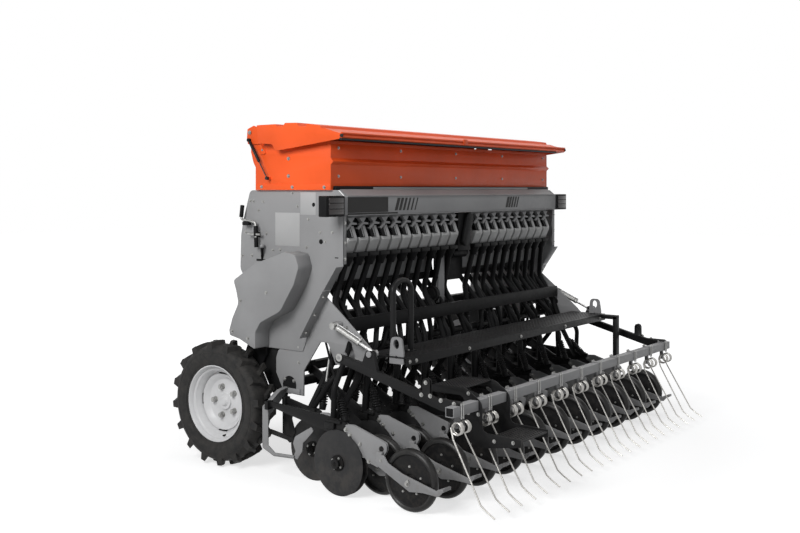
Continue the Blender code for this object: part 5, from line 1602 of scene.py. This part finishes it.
for low, high in ((-0.031, -0.0252), (0.0252, 0.030)):
    box(drawing, (first - 0.017, BAR_Y - 0.029, BAR_Z + low), (first + 0.017, BAR_Y + 0.029, BAR_Z + high),
        0.0015)
row_of("tine_clamps", drawing, LIGHT, *TINE_ROW, "harrow")
row_of("tine_u_bolts", sketch(*(
    (rod, (first + shift, y, BAR_Z - 0.040), (first + shift, y, BAR_Z + 0.036), 0.0032, 10)
    for shift in (-0.009, 0.009) for y in (BAR_Y - 0.0275, BAR_Y + 0.0275))), ZINC, *TINE_ROW, "harrow")
places = [((first + TINE_STEP * number + shift, BAR_Y + y, BAR_Z + 0.030), (0, 0, 1), 0.8)
          for number in range(TINES) for shift in (-0.009, 0.009) for y in (-0.0255, 0.0255)]
bolts("tine_nuts", places, "harrow", washer=0.0085, head=0.0075, stud=0.004)

# %% [markdown]
# The step between the harrow's arms has two bent cheeks and two treads with rows of raised studs.

# %% Harrow step
soften("harrow_step", BLACK, "harrow")
studs = [(-0.728 + 0.021 * line, 0.5975) for line in range(9)]
studs += [(-1.070 + 0.021 * line, 0.3695) for line in range(8)]
drawing = sketch(*((rod, (-1.145, y, z), (-1.145, y, z + 0.0035), 0.0055, 8, 0, 0.0030) for y, z in studs))
row_of("step_studs", drawing, BLACK, 12, (0.0215, 0, 0), "harrow", sharp=50)
STEP_BOLTS = ((-0.775, 0.575), (-0.835, 0.475), (-0.775, 0.475), (-0.930, 0.350), (-1.040, 0.358))
bolts("step_bolts", [((x, y, z), (way, 0, 0), 0.9) for x, way in ((-1.165, -1), (-0.880, 1))
                     for y, z in STEP_BOLTS], "harrow")

# %% [markdown]
# Bolts hold the arms, and round heads close the pivots of the arms and the cylinders.

# %% Harrow arm bolts and pins
ARM_BOLTS = ((-0.627, 0.640), (-0.600, 0.575), (-0.655, 0.575), (-0.800, 0.552), (-0.720, 0.560))
bolts("harrow_arm_bolts", [((side * 1.3375, y, z), (side, 0, 0), 1.0)
                           for name, side in SIDES for y, z in ARM_BOLTS], "harrow")
CYLINDER_EYE = (-0.261, 0.749)
drawing = bmesh.new()
for name, side in SIDES:
    pin(drawing, side * 1.3355, side * 1.3440, HARROW_PIVOT, 0.022, 24, 0.003)
    pin(drawing, side * 1.3075, side * 1.3110, CYLINDER_HEAD, 0.018, 20, 0.001)
dress("pivot_heads", drawing, ZINC)
make("cylinder_pins", LIGHT, *((pin, side * 1.3370, side * 1.3460, CYLINDER_EYE, 0.0170, 24, 0.003)
                               for name, side in SIDES), body="harrow")

# %% [markdown]
# Each harrow cylinder is a zinc tube between two end blocks, pulled together by a long bright tie rod.

# %% Harrow cylinders


def eye_ring(target, inner, outer, half, centre):
    """A round eye about a pin."""
    ring = [(inner, half), (outer, half), (outer, -half), (inner, -half), (inner, half)]
    lathe(target, ring, centre, 28)
    weld(target)


for name, side in SIDES:
    x = side * 1.290
    head, eye = Vector((x, *CYLINDER_HEAD)), Vector((x, *CYLINDER_EYE))
    along = (eye - head).normalized()
    over = Vector((0, along.z, -along.y))
    barrel, piston = f"cylinder_barrel_{name}", f"cylinder_rod_{name}"
    make(f"cylinder_tube_{name}", ZINC, (rod, head + along * 0.030, head + along * 0.196, 0.0155, 24),
         (rod, head + along * 0.024, head + along * 0.046, 0.0169, 24, 0.002),
         (rod, head + along * 0.180, head + along * 0.200, 0.0169, 24, 0.002),
         (eye_ring, 0.0118, 0.0215, 0.0168, head), body=barrel, nodes=(barrel,))
    tie = head + over * 0.0215
    drawing = sketch((rod, tie + along * 0.020, tie + along * 0.204, 0.0045, 12))
    for where in (0.028, 0.196):
        nut = head + along * where + over * 0.0205
        rod(drawing, nut - along * 0.005, nut + along * 0.005, 0.0085, 6)
    dress(f"cylinder_tie_{name}", drawing, BRIGHT, barrel)
    make(f"cylinder_piston_{name}", BRIGHT, (rod, head + along * 0.150, eye - along * 0.012, 0.0098, 20),
         (eye_ring, 0.0108, 0.0195, 0.0098, eye), body=piston, nodes=(piston,))

# %% [markdown]
# ## Coulter hardware
# Bright bolts hold hubs, arms and scrapers. They are listed for every row, because the tree can set
# hundreds of them at once.

# %% Coulter bolts
BLADE_BOLTS = ((0.051, 0.357, 1.2), (0.078, 0.333, 1.2), (0.146, 0.295, 1.0), (0.203, 0.213, 1.0))
places, small, drawing = [], [], bmesh.new()
for name, y, rail, first in BANKS:
    for x in (row_x(row) for row in rows_of(first)):
        for hand in (-1, 1):
            small += [((x + hand * 0.0265, *spot), (hand, 0, 0), 0.62)
                      for spot in around((y, DISC_R), 0.031, 4, 0.5)]
            places += [((x + hand * 0.0086, y - back, z), (hand, 0, 0), size)
                       for back, z, size in BLADE_BOLTS]
        places.append(((x - 0.0326, y - 0.466, 0.146), (-1, 0, 0), 1.3))
        places.append(((x - 0.0326, y - 0.300, 0.238), (-1, 0, 0), 0.8))
        pin(drawing, x - 0.040, x + 0.030, (y - PRESS_BACK, PRESS_R), 0.0085, 10)
bolts("coulter_bolts", places)
bolts("hub_bolts", small, stud=0.001)
dress("press_axles", drawing, ZINC)

# %% [markdown]
# ## Frame details
# A grey post stands in the middle between the hoses, next to the pulley of the metering drive.

# %% Post and pulley
PULLEY = (0.085, 0.962)
PULLEY_SHAPE = [(0, 0.016), (0.030, 0.016), (0.036, 0.010), (0.046, 0.010), (0.052, 0.014), (0.052, -0.014),
                (0.046, -0.014), (0, -0.014)]
make("middle_post", PANEL, (box, (-0.215, 0.060, 0.905), (-0.145, 0.066, 1.262), 0.001),
     (box, (-0.215, 0.060, 0.905), (-0.211, 0.098, 1.262), 0.001))
make("drive_pulley", DARK, (lathe, PULLEY_SHAPE, (-0.250, *PULLEY), 32, -1),
     (pin, -0.250, -0.180, PULLEY, 0.012, 16))

# %% [markdown]
# The headstock shows its pins with linch pins, and bolts where it meets the beam. Its folded edges are
# rounded last, with those of the metering drive and the rear beam.

# %% Headstock pins
LINK_X = 0.4125
places = [((side * LINK_X + shift * 0.6, 0.6925, z), (0, 1, 0), 1.2)
          for name, side in SIDES for shift in (-0.041, 0.041) for z in (0.690, 0.745, 0.840)]
places += [((x, 0.7003, 1.600), (0, 1, 0), 1.2) for x in (-0.24, -0.12, 0.12, 0.24)]
bolts("headstock_bolts", places)
drawing = bmesh.new()
for name, way in SIDES:
    for x in (-LINK_X + way * 0.0560, LINK_X + way * 0.0560):
        rod(drawing, (x, 1.185, 0.598), (x, 1.185, 0.642), 0.0035, 10)
    rod(drawing, (way * 0.070, 1.000, 1.214), (way * 0.070, 1.000, 1.246), 0.0030, 10)
    pin(drawing, way * 0.0585, way * 0.0625, (1.000, 1.230), 0.0200, 20, 0.001)
dress("linch_pins", drawing, ZINC)
for name, finish in (("headstock", PANEL), ("metering_drive", DARK), ("rear_beam", PANEL)):
    soften(name, finish)
